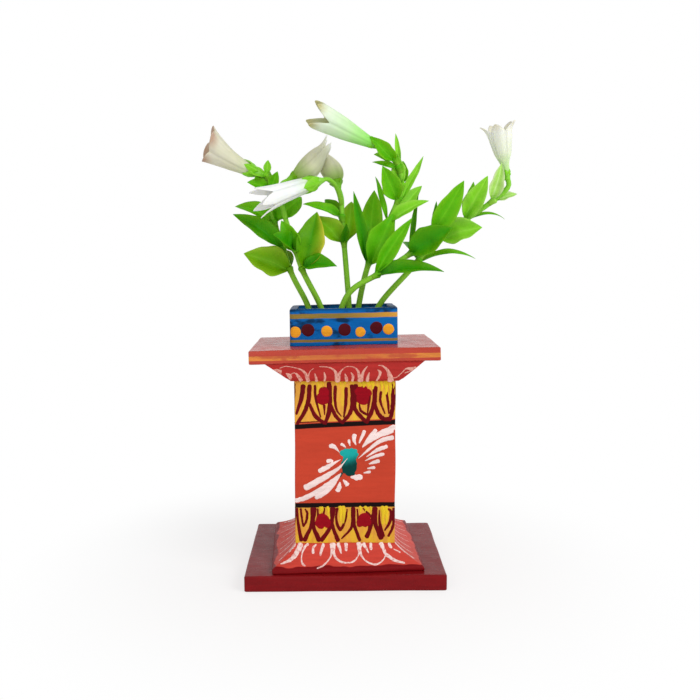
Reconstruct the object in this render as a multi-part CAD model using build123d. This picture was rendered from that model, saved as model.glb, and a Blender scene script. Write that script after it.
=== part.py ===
from build123d import *
from collections import namedtuple
from math import cos, radians, sin, tan
import os

# A tabletop tulsi vrindavan: a painted wooden stand of stacked blocks, nailed together, with an open
# trough on top that holds a spray of plastic tulsi pushed into a block of foam.
# Millimetres. +Z is up, the origin is the middle of the base's underside, and the front faces -Y.

# ---------------- the stand, from the table up ----------------
BASE_WIDTH = 75.0
BASE_DEPTH = 63.5
BASE_THICKNESS = 6.0

PLINTH_WIDTH = 57.0
PLINTH_HEIGHT = 8.2
PLINTH_BAND = 1.8            # upright band below the flare
FLARE_SAG = 1.2              # how far the flare bows in from a straight slope

COLUMN_WIDTH = 38.0
COLUMN_HEIGHT = 62.6

CAPITAL_OVERHANG = 1.5       # the capital's foot stands this far out from the column
CAPITAL_END_SETBACK = 5.6    # its head stops this far short of the slab's ends
CAPITAL_FRONT_SETBACK = 1.2  # and this far short of the slab's front and back
CAPITAL_HEIGHT = 7.9

SLAB_WIDTH = 70.0
SLAB_DEPTH = 54.0
SLAB_THICKNESS = 5.0
WOOD_ARRIS = 0.6             # small bevel on every sanded edge

TROUGH_WIDTH = 41.0
TROUGH_DEPTH = 28.5
TROUGH_HEIGHT = 14.1
TROUGH_WALL = 2.8
TROUGH_FLOOR = 3.3
TROUGH_CORNER = 1.8

# ---------------- hidden wire nails ----------------
NAIL_RADIUS = 0.6
NAIL_SIDES = 8               # a round shank drawn with few faces
NAIL_CLEARANCE = 0.05
NAIL_SUNK = 0.4              # the nail's end lies this far below the surface it was driven through
NAIL_BITE = 8.0              # length of nail in the last block it reaches
BRAD_BITE = 2.6              # the same for the short brads below the trough
BASE_NAIL_SPREAD = 20.0
TOP_NAIL_SPREAD = 14.0
BRAD_SPREAD = 26.0

# ---------------- the plant ----------------
FOAM_HEIGHT = 5.0
FOAM_CLEARANCE = 0.3
STEM_RADIUS = 1.05
STEM_SIDES = 8
STEM_DEPTH = 3.6             # how far a stem is pushed into the foam
STEM_CLEARANCE = 0.05
BEND_SHARE = 0.45            # share of the shorter run that a bend takes up

HUB_RADIUS = 2.1
HUB_LENGTH = 1.8
HUB_SIDES = 6
LEAF_ROOT = 1.75             # a leaf's root lies this far from its stem's middle
LEAF_THICKNESS = 0.45
LEAF_FOLD = 22.0             # degrees that each half of a leaf rises from its midrib
LEAF_SHOULDER = 0.4          # where a leaf's shoulder lies, as a share of its length
LEAF_FULLNESS = 1.24         # the shoulder's corner before it is rounded, as a share of the half width

PETALS = 5
PETAL_THICKNESS = 0.5
NOTCH_DEPTH = 0.2            # how far the cuts between petals run down, as a share of the flower's length
NOTCH_WIDTH = 0.72           # how wide each cut is at the mouth, as a share of the mouth's radius
THROAT_RADIUS = 1.3
WAIST_PLACE = 0.22           # where the flower's narrow part ends, as a share of its length
WAIST_SHARE = 0.58           # its radius there, as a share of the belly's
BELLY_PLACE = 0.6
CALYX_SKIRT = 1.5            # the calyx reaches this far down the stem
CALYX_CUP = 4.4              # and this far up the flower
SEPAL_LENGTH = 2.2           # depth of the cuts that leave the points of its rim
CALYX_WALL = 0.55
CALYX_SEAT = 0.3             # thickness of its floor, between the stem's end and the flower

Leaf = namedtuple("Leaf", "reach width facing")
Whorl = namedtuple("Whorl", "place leaves")
Flower = namedtuple("Flower", "length belly mouth")
Sprig = namedtuple("Sprig", "route whorls flower")

# A route starts at the foam and ends at the flower, whose axis it sets. A whorl's place is a share of
# its stem's length. A leaf's reach runs from the stem to its tip; facing is 0 for a leaf whose upper
# side looks up and 90 for one that looks to the front. A flower has its length, and its radius at its
# belly and at its mouth: an open trumpet is widest at its mouth, and a closing one at its belly.
SPRIGS = {
    "1": Sprig([(-12, 1, 0), (-14.6, 1.2, 10), (-20.5, 3, 21.5), (-24.5, 5, 33), (-28, 6, 44),
                (-29.4, 6.2, 53), (-30.4, 6, 58.9), (-34.2, 5.6, 60.9)], [
        Whorl(0.39, [Leaf((-18.4, -4, 7.2), 12, 55), Leaf((-9, 12, 9), 9.5, 15)]),
        Whorl(0.52, [Leaf((-17.6, -4, 14), 10, 50), Leaf((4, 11, 7), 8, 10)]),
        Whorl(0.68, [Leaf((-15, 4, 8), 7.5, 50), Leaf((9.5, 4, 10.5), 10, 45)]),
        Whorl(0.88, [Leaf((-7, -4, 2), 4.5, 55), Leaf((3, 0, 6), 3.5, 90), Leaf((-1, 4, 9), 4, 90)]),
    ], Flower(21.5, 4.3, 7.0)),
    "2": Sprig([(-6.8, -1.5, 0), (-9.6, -1.5, 10), (-15.8, -4, 22.5), (-19, -2, 31.5), (-22.4, 2, 41.5),
                (-24.7, 3.5, 51), (-24.5, 4, 57), (-20.5, 4.8, 60)], [
        Whorl(0.40, [Leaf((5, 3, 22), 12, 90), Leaf((12, -6, 2), 8.5, 50)]),
        Whorl(0.52, [Leaf((-7, -9, 5), 7, 30)]),
        Whorl(0.86, [Leaf((0, 4, 7), 3.0, 60)]),
    ], Flower(20.0, 4.7, 2.6)),
    "3": Sprig([(2.2, 1.5, 0), (1.7, 1.8, 12), (0.8, 3.5, 24), (-0.2, 4.2, 36), (-0.9, 5, 45),
                (-0.3, 7, 51.5), (-1.3, 9.2, 57)], [
        Whorl(0.60, [Leaf((-10.5, -1, 10.5), 9.5, 60), Leaf((3, 8, 17), 9, 90), Leaf((0.5, -4.5, 7), 4, 100)]),
        Whorl(0.77, [Leaf((-14, -3, 5.5), 6, 45), Leaf((-6, 6, 8), 6, 60)]),
    ], Flower(16.0, 3.8, 2.2)),
    "4": Sprig([(5.2, 2.5, 0), (5.8, 2, 10), (9.9, 1, 27), (17.5, 1.5, 42.5), (21.6, 2, 52.5),
                (22.2, 1.5, 60), (19.8, 0.4, 66.5), (16, -0.8, 70.4), (11.6, -2.1, 72.7)], [
        Whorl(0.34, [Leaf((-5.2, -5, 27), 5, 60), Leaf((3.3, 9, 29), 11, 90), Leaf((9, -2, 19.5), 11, 75)]),
        Whorl(0.56, [Leaf((13.5, 7, 15.5), 7, 70), Leaf((14, -4, 9), 6.5, 50), Leaf((-4, 5, 18.5), 2.6, 60)]),
        Whorl(0.68, [Leaf((-5.5, -5, 12), 8.5, 90), Leaf((9.2, 2, 17), 3.6, 70)]),
        Whorl(0.835, [Leaf((-9.5, -2, 2.5), 3, 60), Leaf((-1.5, 5, 12), 2.4, 60)]),
    ], Flower(25.5, 5.3, 5.6)),
    "5": Sprig([(-1.8, -5, 0), (-1.1, -5.5, 9), (3.5, -6, 16.5), (14.6, -6, 22.9), (26.2, -5, 30.4),
                (36.5, -3, 38.1)], [
        Whorl(0.50, [Leaf((13, -1, 21.5), 9, 75), Leaf((24.5, -5, 3.5), 8, 45)]),
        Whorl(0.77, [Leaf((14.5, -6, 9.5), 12, 65), Leaf((4, 6, 22), 2.4, 60)]),
        Whorl(0.97, [Leaf((2, 4, 13), 2.5, 70), Leaf((11.5, -2, 20), 9, 85)]),
    ], None),
    "6": Sprig([(11.2, 2, 0), (14, 2.5, 9.8), (25.8, 4.5, 23), (36.5, 5.5, 34.3), (47, 5, 42.4),
                (57, 3, 49.4), (63.9, 1.4, 55.5), (63.3, 0.9, 60)], [
        Whorl(0.41, [Leaf((23, 4, 3.5), 3.4, 40), Leaf((-4, 11, 8), 8, 0)]),
        Whorl(0.56, [Leaf((14.5, -6, 6), 10.5, 60), Leaf((2, 11, 8), 7.5, 0)]),
        Whorl(0.71, [Leaf((7.5, -6, 15.5), 8.5, 80), Leaf((16, 4, 2.5), 2, 40), Leaf((4, 6, 15), 4, 80)]),
        Whorl(0.86, [Leaf((3, -5, 13), 6, 90), Leaf((10, 2, 3.5), 5, 50)]),
    ], Flower(20.0, 3.3, 6.4)),
}

# The front flower hangs from a side shoot of one of the stems.
SHOOT_CARRIER = "3"
SHOOT_PLACE = 0.84
SHOOT_RADIUS = 0.75
SHOOT_ROUTE = [(-1.6, -1.4, 3.9), (-3.7, -4, 6.9), (-6.1, -6.6, 8.2), (-8.7, -7.8, 7.1)]
SHOOT_FLOWER = Flower(28.0, 3.2, 6.2)

# ---------------- heights that follow from the sizes above ----------------
PLINTH_Z = BASE_THICKNESS
COLUMN_Z = PLINTH_Z + PLINTH_HEIGHT
CAPITAL_Z = COLUMN_Z + COLUMN_HEIGHT
SLAB_Z = CAPITAL_Z + CAPITAL_HEIGHT
TROUGH_Z = SLAB_Z + SLAB_THICKNESS
FOAM_Z = TROUGH_Z + TROUGH_FLOOR
FOAM_TOP_Z = FOAM_Z + FOAM_HEIGHT
ROOT_Z = FOAM_TOP_Z - STEM_DEPTH
HOLLOW_WIDTH = TROUGH_WIDTH - 2 * TROUGH_WALL
HOLLOW_DEPTH = TROUGH_DEPTH - 2 * TROUGH_WALL


def sanded_block(width, depth, height, low):
    """An upright block whose underside is at this height, with a small bevel along each edge."""
    block = extrude(Rectangle(width, depth), height)
    return Pos(0, 0, low) * chamfer(block.edges(), WOOD_ARRIS)


def shaped_block(front, side, reach):
    """The block that shows one outline from the front and the other from the side."""
    return extrude(Plane.XZ * front, reach, both=True) & extrude(Plane.YZ * side, reach, both=True)


def flared_plinth():
    """A square block: an upright band, then a hollow curve in to the column, mitred at its corners."""
    foot = PLINTH_WIDTH / 2
    head = COLUMN_WIDTH / 2
    middle = Vector((foot + head) / 2, (PLINTH_BAND + PLINTH_HEIGHT) / 2)
    slope = Vector(foot - head, PLINTH_BAND - PLINTH_HEIGHT).normalized()
    hollow = middle + Vector(slope.Y, -slope.X) * FLARE_SAG
    right = ThreePointArc((foot, PLINTH_BAND), hollow, (head, PLINTH_HEIGHT))
    edges = [
        Line((-foot, 0), (foot, 0)),
        Line((foot, 0), (foot, PLINTH_BAND)),
        right,
        Line((head, PLINTH_HEIGHT), (-head, PLINTH_HEIGHT)),
        mirror(right, Plane.YZ),
        Line((-foot, PLINTH_BAND), (-foot, 0)),
    ]
    outline = make_face(edges)
    return Pos(0, 0, PLINTH_Z) * shaped_block(outline, outline, foot)


def flared_capital():
    """A block whose four straight sides flare out from the column to just inside the slab's edges."""
    foot = COLUMN_WIDTH / 2 + CAPITAL_OVERHANG
    outlines = []
    for head in (SLAB_WIDTH / 2 - CAPITAL_END_SETBACK, SLAB_DEPTH / 2 - CAPITAL_FRONT_SETBACK):
        corners = [(-foot, CAPITAL_Z), (foot, CAPITAL_Z), (head, SLAB_Z), (-head, SLAB_Z)]
        outlines.append(make_face(Polyline(*corners, close=True)))
    return shaped_block(*outlines, SLAB_WIDTH / 2)


def open_trough():
    """A block with rounded corners, hollowed from above, with its rim rubbed down outside."""
    block = extrude(RectangleRounded(TROUGH_WIDTH, TROUGH_DEPTH, TROUGH_CORNER), TROUGH_HEIGHT)
    block = chamfer(block.faces().sort_by(Axis.Z)[-1].edges(), WOOD_ARRIS)
    hollow = extrude(Rectangle(HOLLOW_WIDTH, HOLLOW_DEPTH), TROUGH_HEIGHT)
    return Pos(0, 0, TROUGH_Z) * block - Pos(0, 0, FOAM_Z) * hollow


def upright_pair(spread, low, high, across, clearance):
    """Two upright round bars, a spread apart along X or across along Y, grown all round by a clearance."""
    bar = extrude(RegularPolygon(NAIL_RADIUS + clearance, NAIL_SIDES), high - low + 2 * clearance)
    offset = (0, spread / 2) if across else (spread / 2, 0)
    return [Pos(side * offset[0], side * offset[1], low - clearance) * bar for side in (-1, 1)]


def wire_nails(joint):
    return Compound(children=upright_pair(*joint, 0))


def nail_holes(joint):
    return upright_pair(*joint, NAIL_CLEARANCE)


def rounded_route(route):
    """Straight runs joined by tangent bends, each as large as its two runs allow, and their radii."""
    points = [Vector(*point) for point in route]
    radii = []
    for before, corner, after in zip(points, points[1:], points[2:]):
        run_in = corner - before
        run_out = after - corner
        turn = radians(run_in.get_angle(run_out))
        radii.append(BEND_SHARE * min(run_in.length, run_out.length) / tan(turn / 2))
    return FilletPolyline(*points, radius=radii), radii


def tube(path, radius):
    """A moulded stem: an even-sided bar swept along its path."""
    section = Plane(origin=path @ 0, z_dir=path % 0) * RegularPolygon(radius, STEM_SIDES)
    return sweep(section, path=path)


def stem_hole(place, radius, length):
    """A straight hole that clears a stem of this radius, however the stem is turned in it."""
    hole = RegularPolygon(radius + STEM_CLEARANCE, STEM_SIDES, major_radius=False)
    return extrude(place * hole, length / 2, both=True)


def facing_direction(reach, facing):
    """The way a leaf's upper side looks: turned from up towards the front, square to its reach."""
    along = reach.normalized()
    angle = radians(facing)
    wish = Vector(0, -sin(angle), cos(angle))
    return (wish - along * along.dot(wish)).normalized()


def leaf_outline(length, half):
    """A pointed oval: straight from the root, round a full shoulder, then straight to a sharp tip."""
    corners = [(0, 0, 0), (LEAF_SHOULDER * length, LEAF_FULLNESS * half, 0), (length, 0, 0)]
    upper, _ = rounded_route(corners)
    return make_face([*upper.edges(), *mirror(upper, Plane.XZ).edges()])


def leaf_blade(root, leaf):
    """A leaf folded a little along its midrib: its outline cut out of a long V-shaped bar."""
    reach = Vector(*leaf.reach)
    half = leaf.width / 2
    rise = half * tan(radians(LEAF_FOLD))
    fold = [(-half, rise), (0, 0), (half, rise)]
    top = [(x, y + LEAF_THICKNESS) for x, y in reversed(fold)]
    bar = extrude(Plane.YZ * make_face(Polyline(*fold, *top, close=True)), reach.length)
    blade = bar & extrude(leaf_outline(reach.length, half), rise + LEAF_THICKNESS)
    return Plane(origin=root, x_dir=reach.normalized(), z_dir=facing_direction(reach, leaf.facing)) * blade


def leaf_whorl(path, whorl):
    """A hub threaded on the stem, with leaves that grow from its wall, moulded in one piece."""
    centre = path @ whorl.place
    along = path % whorl.place
    hub_plane = Plane(origin=centre, z_dir=along)
    piece = extrude(hub_plane * RegularPolygon(HUB_RADIUS, HUB_SIDES), HUB_LENGTH / 2, both=True)
    for leaf in whorl.leaves:
        reach = Vector(*leaf.reach)
        outward = (reach - along * reach.dot(along)).normalized()
        piece += leaf_blade(centre + outward * LEAF_ROOT, leaf)
    return piece - stem_hole(hub_plane, STEM_RADIUS, 2 * HUB_LENGTH)


def faceted_form(levels):
    """A closed form with two flat sides for each petal, from the height and radius of each level."""
    sides = 2 * PETALS
    rings = []
    for height, radius in levels:
        rings.append([Vector(radius, 0, height).rotate(Axis.Z, 360 / sides * side) for side in range(sides)])
    outlines = [rings[0], rings[-1]]
    for lower, upper in zip(rings, rings[1:]):
        for side in range(sides):
            outlines.append([lower[side - 1], lower[side], upper[side], upper[side - 1]])
    return Solid(Shell([make_face(Polyline(*outline, close=True)).face() for outline in outlines]))


def trumpet(flower, grow):
    """The flower's outer form, or with grow the form of a hollow round it or within it."""
    levels = [
        (0, THROAT_RADIUS + grow),
        (WAIST_PLACE * flower.length, WAIST_SHARE * flower.belly + grow),
        (BELLY_PLACE * flower.length, flower.belly + grow),
        (flower.length, flower.mouth + grow),
    ]
    return faceted_form(levels)


def points_cut(top, depth, radius):
    """V cuts down from a rim that leave one point for each petal."""
    half = NOTCH_WIDTH * radius / 2
    wedge = make_face(Polyline((-half, top), (half, top), (0, top - depth), close=True))
    cut = extrude(Plane.XZ * wedge, -2 * radius)
    return [Rot(0, 0, 360 / PETALS * count) * cut for count in range(PETALS)]


def flower_pieces(path, stem_radius, flower):
    """The flower and its calyx, in line with the stem's end."""
    place = Plane(origin=path @ 1, z_dir=path % 1)
    inner = Pos(0, 0, PETAL_THICKNESS) * trumpet(flower, -PETAL_THICKNESS)
    notches = points_cut(flower.length, NOTCH_DEPTH * flower.length, flower.mouth)
    petals = trumpet(flower, 0) - inner - notches
    foot = stem_radius + STEM_CLEARANCE + CALYX_WALL
    rim = WAIST_SHARE * flower.belly + 2 * CALYX_WALL
    room = Pos(0, 0, CALYX_SEAT) * trumpet(flower, STEM_CLEARANCE)
    bore = stem_hole(Pos(0, 0, -CALYX_SKIRT), stem_radius, 2 * CALYX_SKIRT)
    cup = faceted_form([(-CALYX_SKIRT, foot), (CALYX_CUP, rim)]) - room - bore
    sepals = cup - points_cut(CALYX_CUP, SEPAL_LENGTH, rim)
    return place * Pos(0, 0, CALYX_SEAT + STEM_CLEARANCE) * petals, place * sepals


def raised(route, base):
    return [(x, y, base + z) for x, y, z in route]


os.makedirs("parts", exist_ok=True)
pieces = {}

# ---------------- nails, and the blocks they run through ----------------
# Each joint: the nails' spread, their lower and upper ends, and whether the pair stands across, along Y.
base_joint = (BASE_NAIL_SPREAD, NAIL_SUNK, COLUMN_Z + NAIL_BITE, False)
top_joint = (TOP_NAIL_SPREAD, CAPITAL_Z - NAIL_BITE, TROUGH_Z - NAIL_SUNK, True)
trough_joint = (BRAD_SPREAD, TROUGH_Z - BRAD_BITE, FOAM_Z - NAIL_SUNK, False)

base = sanded_block(BASE_WIDTH, BASE_DEPTH, BASE_THICKNESS, 0)
column = sanded_block(COLUMN_WIDTH, COLUMN_WIDTH, COLUMN_HEIGHT, COLUMN_Z)
slab = sanded_block(SLAB_WIDTH, SLAB_DEPTH, SLAB_THICKNESS, SLAB_Z)
pieces["base_plate"] = base - nail_holes(base_joint)
pieces["plinth"] = flared_plinth() - nail_holes(base_joint)
pieces["column"] = column - nail_holes(base_joint) - nail_holes(top_joint)
pieces["capital"] = flared_capital() - nail_holes(top_joint)
pieces["top_slab"] = slab - nail_holes(top_joint) - nail_holes(trough_joint)
pieces["trough"] = open_trough() - nail_holes(trough_joint)
pieces["base_nails"] = wire_nails(base_joint)
pieces["top_nails"] = wire_nails(top_joint)
pieces["trough_brads"] = wire_nails(trough_joint)

# ---------------- foam ----------------
foam_outline = Rectangle(HOLLOW_WIDTH - 2 * FOAM_CLEARANCE, HOLLOW_DEPTH - 2 * FOAM_CLEARANCE)
foam = Pos(0, 0, FOAM_Z) * extrude(foam_outline, FOAM_HEIGHT)

# ---------------- sprigs ----------------
for name, sprig in SPRIGS.items():
    path, radii = rounded_route(raised(sprig.route, ROOT_Z))
    print("stem", name, "bend radii", [round(radius, 1) for radius in radii])
    stem = tube(path, STEM_RADIUS)
    foam -= stem_hole(Plane(origin=path @ 0, z_dir=path % 0), STEM_RADIUS, 2 * FOAM_HEIGHT)
    if name == SHOOT_CARRIER:
        start = path @ SHOOT_PLACE
        shoot_route = [start] + [start + Vector(*step) for step in SHOOT_ROUTE]
        shoot, shoot_radii = rounded_route([(point.X, point.Y, point.Z) for point in shoot_route])
        print("side shoot bend radii", [round(radius, 1) for radius in shoot_radii])
        stem += tube(shoot, SHOOT_RADIUS)
        pieces["flower_front"], pieces["calyx_front"] = flower_pieces(shoot, SHOOT_RADIUS, SHOOT_FLOWER)
    pieces["stem_" + name] = stem
    pieces["leaves_" + name] = Compound(children=[leaf_whorl(path, whorl) for whorl in sprig.whorls])
    if sprig.flower:
        pieces["flower_" + name], pieces["calyx_" + name] = flower_pieces(path, STEM_RADIUS, sprig.flower)
pieces["foam_block"] = foam

for node, piece in pieces.items():
    export_step(piece, os.path.join("parts", node + ".step"))
print(len(pieces), "sub-parts")
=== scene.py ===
from collections import namedtuple
from math import ceil, cos, exp, pi, radians, sin, sqrt, tan

import bmesh
import bpy
from mathutils import Matrix, Vector, noise


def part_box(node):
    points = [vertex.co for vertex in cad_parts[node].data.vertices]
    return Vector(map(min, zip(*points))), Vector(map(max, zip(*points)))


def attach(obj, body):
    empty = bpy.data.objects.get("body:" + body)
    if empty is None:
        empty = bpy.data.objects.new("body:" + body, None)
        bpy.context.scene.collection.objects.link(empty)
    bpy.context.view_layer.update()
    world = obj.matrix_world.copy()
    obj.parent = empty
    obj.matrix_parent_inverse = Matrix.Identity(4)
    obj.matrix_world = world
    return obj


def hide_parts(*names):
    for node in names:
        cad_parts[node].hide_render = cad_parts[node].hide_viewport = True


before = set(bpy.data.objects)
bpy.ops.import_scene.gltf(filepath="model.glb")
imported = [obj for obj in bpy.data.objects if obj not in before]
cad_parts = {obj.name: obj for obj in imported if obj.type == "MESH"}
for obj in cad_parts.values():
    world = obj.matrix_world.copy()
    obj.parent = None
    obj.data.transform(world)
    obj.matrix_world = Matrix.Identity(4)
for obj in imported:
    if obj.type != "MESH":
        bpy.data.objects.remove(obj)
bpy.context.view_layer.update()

# A tabletop tulsi vrindavan: a hand-painted wooden stand with a spray of plastic tulsi in its trough.
# The work is done in millimetres, in the frame's own axes, and each mesh is written in metres.
MM = 0.001


# ---------------- sizes read from the frame ----------------
Block = namedtuple("Block", "half_x half_y low high")


def block_of(node):
    low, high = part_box(node)
    return Block(high.x / MM, high.y / MM, low.z / MM, high.z / MM)


BASE = block_of("base_plate")
PLINTH = block_of("plinth")
COLUMN = block_of("column")
CAPITAL = block_of("capital")
SLAB = block_of("top_slab")
TROUGH = block_of("trough")
FOAM = block_of("foam_block")

# ---------------- how the stand is made by hand ----------------
PLINTH_BAND = 1.8            # upright band below the plinth's flare
FLARE_SAG = 1.5              # how far the flare bows in from a straight slope
PLINTH_TURN = 2.6            # degrees that the plinth's foot is turned on the base
FLARED_CORNER = 0.5          # radius of the plinth's and the capital's corners and foot
COLUMN_CORNER = 0.4
COLUMN_EDGE = 0.3
CAPITAL_FOOT = COLUMN.half_x + 1.5
CAPITAL_FOOT_RISE = 0.4      # height of the rubbed edge at its foot
BOARD_CORNER = 0.6           # radius of the boards' upright corners
WORN_EDGE = 0.55             # radius to which the base's edges are rubbed
SLAB_EDGE = WORN_EDGE * 0.8
TROUGH_WALL = 2.8
TROUGH_CORNER = 1.7
TROUGH_RIM = 0.6             # radius of the rim's outer edge
TROUGH_LIP = 0.5             # and of its inner one
TROUGH_FOOT = 0.3
FOAM_ROOM = 0.15             # the foam is cut this much smaller all round than its box
FOAM_LIFT = 0.4              # and this much higher than the box at its foot
WOBBLE = 0.24                # how far the painted faces stray from flat
WOBBLE_LENGTH = 17.0
WOBBLE_SEED = 5              # without a seed the wobble would differ from run to run
LEVEL_FOOT = 8.0             # below this height the faces stray less and less from level
LEAN = 0.0193                # the slab and trough rise this much for each millimetre to the right
BOX_MARGIN = 0.35            # room kept inside the frame's box where a face lies on it


noise.seed_set(WOBBLE_SEED)


def lean_at(point):
    """How the stand's lean moves a point: not at all below the capital, and fully from the slab up."""
    above = max(point.z - CAPITAL.low, 0)
    lean = LEAN * min(above / (CAPITAL.high - CAPITAL.low), 1)
    return Vector((-lean * above, 0, lean * point.x))


def hand_made(point):
    """A point of the stand, moved as hand-cut, nailed and thickly painted wood is uneven."""
    drift = noise.noise_vector(point / WOBBLE_LENGTH) * WOBBLE
    drift.z *= min(1, point.z / LEVEL_FOOT)
    return point + drift + lean_at(point)


def turned_plinth(point):
    """The same for the plinth, which is also turned a little on the base, but not at the column."""
    share = (PLINTH.high - point.z) / (PLINTH.high - PLINTH.low)
    return hand_made(Matrix.Rotation(radians(PLINTH_TURN) * share, 3, "Z") @ point)


# ---------------- meshes ----------------
def stacked(rings):
    """The points and faces of a closed form that runs through these rings, from first to last."""
    count = len(rings[0])
    last = count * (len(rings) - 1)
    faces = [tuple(reversed(range(count)))]
    for start in range(0, last, count):
        for near in range(start, start + count):
            far = near + 1 if near + 1 < start + count else start
            faces.append((near, far, far + count, near + count))
    faces.append(tuple(range(last, last + count)))
    return [point for ring in rings for point in ring], faces


def smooth_line(points, steps):
    """Points on a smooth line through these, with this many steps from each to the next."""
    points = [Vector(point) for point in points]
    guides = [2 * points[0] - points[1], *points, 2 * points[-1] - points[-2]]
    line = []
    for a, b, c, d in zip(guides, guides[1:], guides[2:], guides[3:]):
        for step in range(steps):
            t = step / steps
            line.append(b + (c - a) * (t / 2) + (2 * a - 5 * b + 4 * c - d) * (t * t / 2)
                        + (3 * b - a - 3 * c + d) * (t ** 3 / 2))
    return line + [points[-1]]


def kept(value, low=0, high=1):
    """A value kept between two limits."""
    return min(max(value, low), high)


def mixed(near, far, share):
    """A colour between two colours."""
    share = kept(share)
    return tuple(a + (b - a) * share for a, b in zip(near, far))


def shaded(colour, part):
    """A colour made darker, or lighter where the part is over 1."""
    return tuple(value * part for value in colour)


def moved(points, shift):
    """Points moved by a shift of as many numbers as each has."""
    return [tuple(value + step for value, step in zip(point, shift)) for point in points]


def add_piece(name, forms, material, body, slot, nodes=()):
    """One smooth mesh, in millimetres, from closed forms of points and faces. A form of the plant also
    has a tint for each point, and a leaf the place of each point along and across it."""
    mesh = bpy.data.meshes.new(name)
    points, faces, tints, places = [], [], [], []
    for form in forms:
        start = len(points)
        points += [point * MM for point in form[0]]
        faces += [tuple(start + index for index in face) for face in form[1]]
        tints += form[2] if len(form) > 2 else []
        places += form[3] if len(form) > 3 else [(0, 0)] * len(form[0])
    mesh.from_pydata(points, [], faces)
    shell = bmesh.new()
    shell.from_mesh(mesh)
    bmesh.ops.recalc_face_normals(shell, faces=shell.faces)
    shell.to_mesh(mesh)
    shell.free()
    mesh.shade_smooth()
    if tints:
        layer = mesh.color_attributes.new("tint", "FLOAT_COLOR", "POINT")
        for index, tint in enumerate(tints):
            layer.data[index].color = (*tint, 1)
        chart = mesh.uv_layers.new(name="place")
        for loop in mesh.loops:
            chart.data[loop.index].uv = places[loop.vertex_index]
    mesh.materials.append(material)
    piece = bpy.data.objects.new(name, mesh)
    bpy.context.scene.collection.objects.link(piece)
    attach(piece, body)
    if nodes:
        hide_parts(*nodes)


# ---------------- materials ----------------
WHITE = (1, 1, 1, 1)


class Nodes:
    """Short calls for the nodes of a tree."""

    def __init__(self, tree):
        self.tree = tree

    def join(self, value, socket):
        """Joins an output to a socket, or sets the socket to a value."""
        if isinstance(value, bpy.types.NodeSocket):
            self.tree.links.new(value, socket)
        else:
            socket.default_value = value

    def node(self, kind, inputs, **settings):
        """A new node with its settings, and with each input joined to an output or set to a value."""
        made = self.tree.nodes.new(kind)
        for name, value in settings.items():
            setattr(made, name, value)
        for key, value in inputs.items():
            self.join(value, made.inputs[key])
        return made

    def math(self, operation, first, second=0.0, *more):
        values = (first, second, *more)
        return self.node("ShaderNodeMath", dict(enumerate(values)), operation=operation).outputs[0]

    def seen_by(self, *kinds):
        """One for a ray of any of these kinds, and nought for the others."""
        rays = self.node("ShaderNodeLightPath", {}).outputs
        seen = rays[kinds[0]]
        for kind in kinds[1:]:
            seen = self.math("MAXIMUM", seen, rays[kind])
        return seen

    def show(self, lit, plain, share, output):
        """Gives the tree's output a lit surface, with this share of a plain one."""
        either = self.node("ShaderNodeMixShader", {0: share, 1: lit, 2: plain})
        self.join(either.outputs[0], self.tree.nodes[output].inputs["Surface"])


class Shader(Nodes):
    """A Principled material, with short calls for the nodes that its colours share."""

    def __init__(self, name, roughness, specular=0.08, subsurface=0.0):
        self.material = bpy.data.materials.new(name)
        self.material.use_nodes = True
        super().__init__(self.material.node_tree)
        self.surface = self.tree.nodes["Principled BSDF"]
        for key, value in {
                "Roughness": roughness, "Specular IOR Level": specular, "Subsurface Weight": subsurface,
                "Subsurface Radius": (1, 0.9, 0.5), "Subsurface Scale": 0.002}.items():
            self.surface.inputs[key].default_value = value
        self.place = self.node("ShaderNodeTexCoord", {}).outputs["Object"]
        self.x, self.y, self.z = self.node("ShaderNodeSeparateXYZ", {"Vector": self.place}).outputs

    def noise(self, length, stretch=(1, 1, 1), detail=3.0, roughness=0.55):
        """Noise whose blotches are this long in millimetres, drawn out along the axes by stretch."""
        scale = [1 / (length * MM * part) for part in stretch]
        scaled = self.node("ShaderNodeMapping", {"Vector": self.place, "Scale": scale})
        return self.node("ShaderNodeTexNoise", {
            "Vector": scaled.outputs["Vector"], "Scale": 1.0, "Detail": detail,
            "Roughness": roughness}).outputs["Fac"]

    def spread(self, value, low, high, bottom=0.0, top=1.0):
        """Maps low..high smoothly onto bottom..top."""
        return self.node("ShaderNodeMapRange", {
            "Value": value, "From Min": low, "From Max": high, "To Min": bottom, "To Max": top},
            interpolation_type="SMOOTHSTEP").outputs["Result"]

    def mix(self, factor, first, second, blend="MIX"):
        """Two colours, mixed by a factor."""
        colours = [(*value, 1) if isinstance(value, tuple) else value for value in (first, second)]
        return self.node("ShaderNodeMix", {0: factor, 6: colours[0], 7: colours[1]}, data_type="RGBA",
                         blend_type=blend).outputs[2]

    def band(self, height, low, high, soft=0.12):
        """One between two heights in millimetres, and nought outside them."""
        up = self.spread(height, (low - soft) * MM, (low + soft) * MM)
        down = self.spread(height, (high - soft) * MM, (high + soft) * MM, 1.0, 0.0)
        return self.math("MULTIPLY", up, down)

    def ragged_height(self, lean, amount, length=4.0):
        """The height on a leaning face, in metres, with the wavering of a hand-drawn line."""
        waver = self.math("MULTIPLY_ADD", self.noise(length, (1, 1, 3), 2.0), 2 * amount * MM, -amount * MM)
        level = self.math("MULTIPLY", self.x, -lean)
        return self.math("ADD", self.math("ADD", self.z, level), waver)

    def colour(self, value):
        self.join(value, self.surface.inputs["Base Color"])

    def bump(self, height, distance):
        made = self.node("ShaderNodeBump", {"Height": height, "Distance": distance * MM, "Strength": 1.0})
        self.join(made.outputs["Normal"], self.surface.inputs["Normal"])

    def vary_roughness(self, value, low, high):
        self.join(self.spread(value, 0.3, 0.7, low, high), self.surface.inputs["Roughness"])


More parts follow.
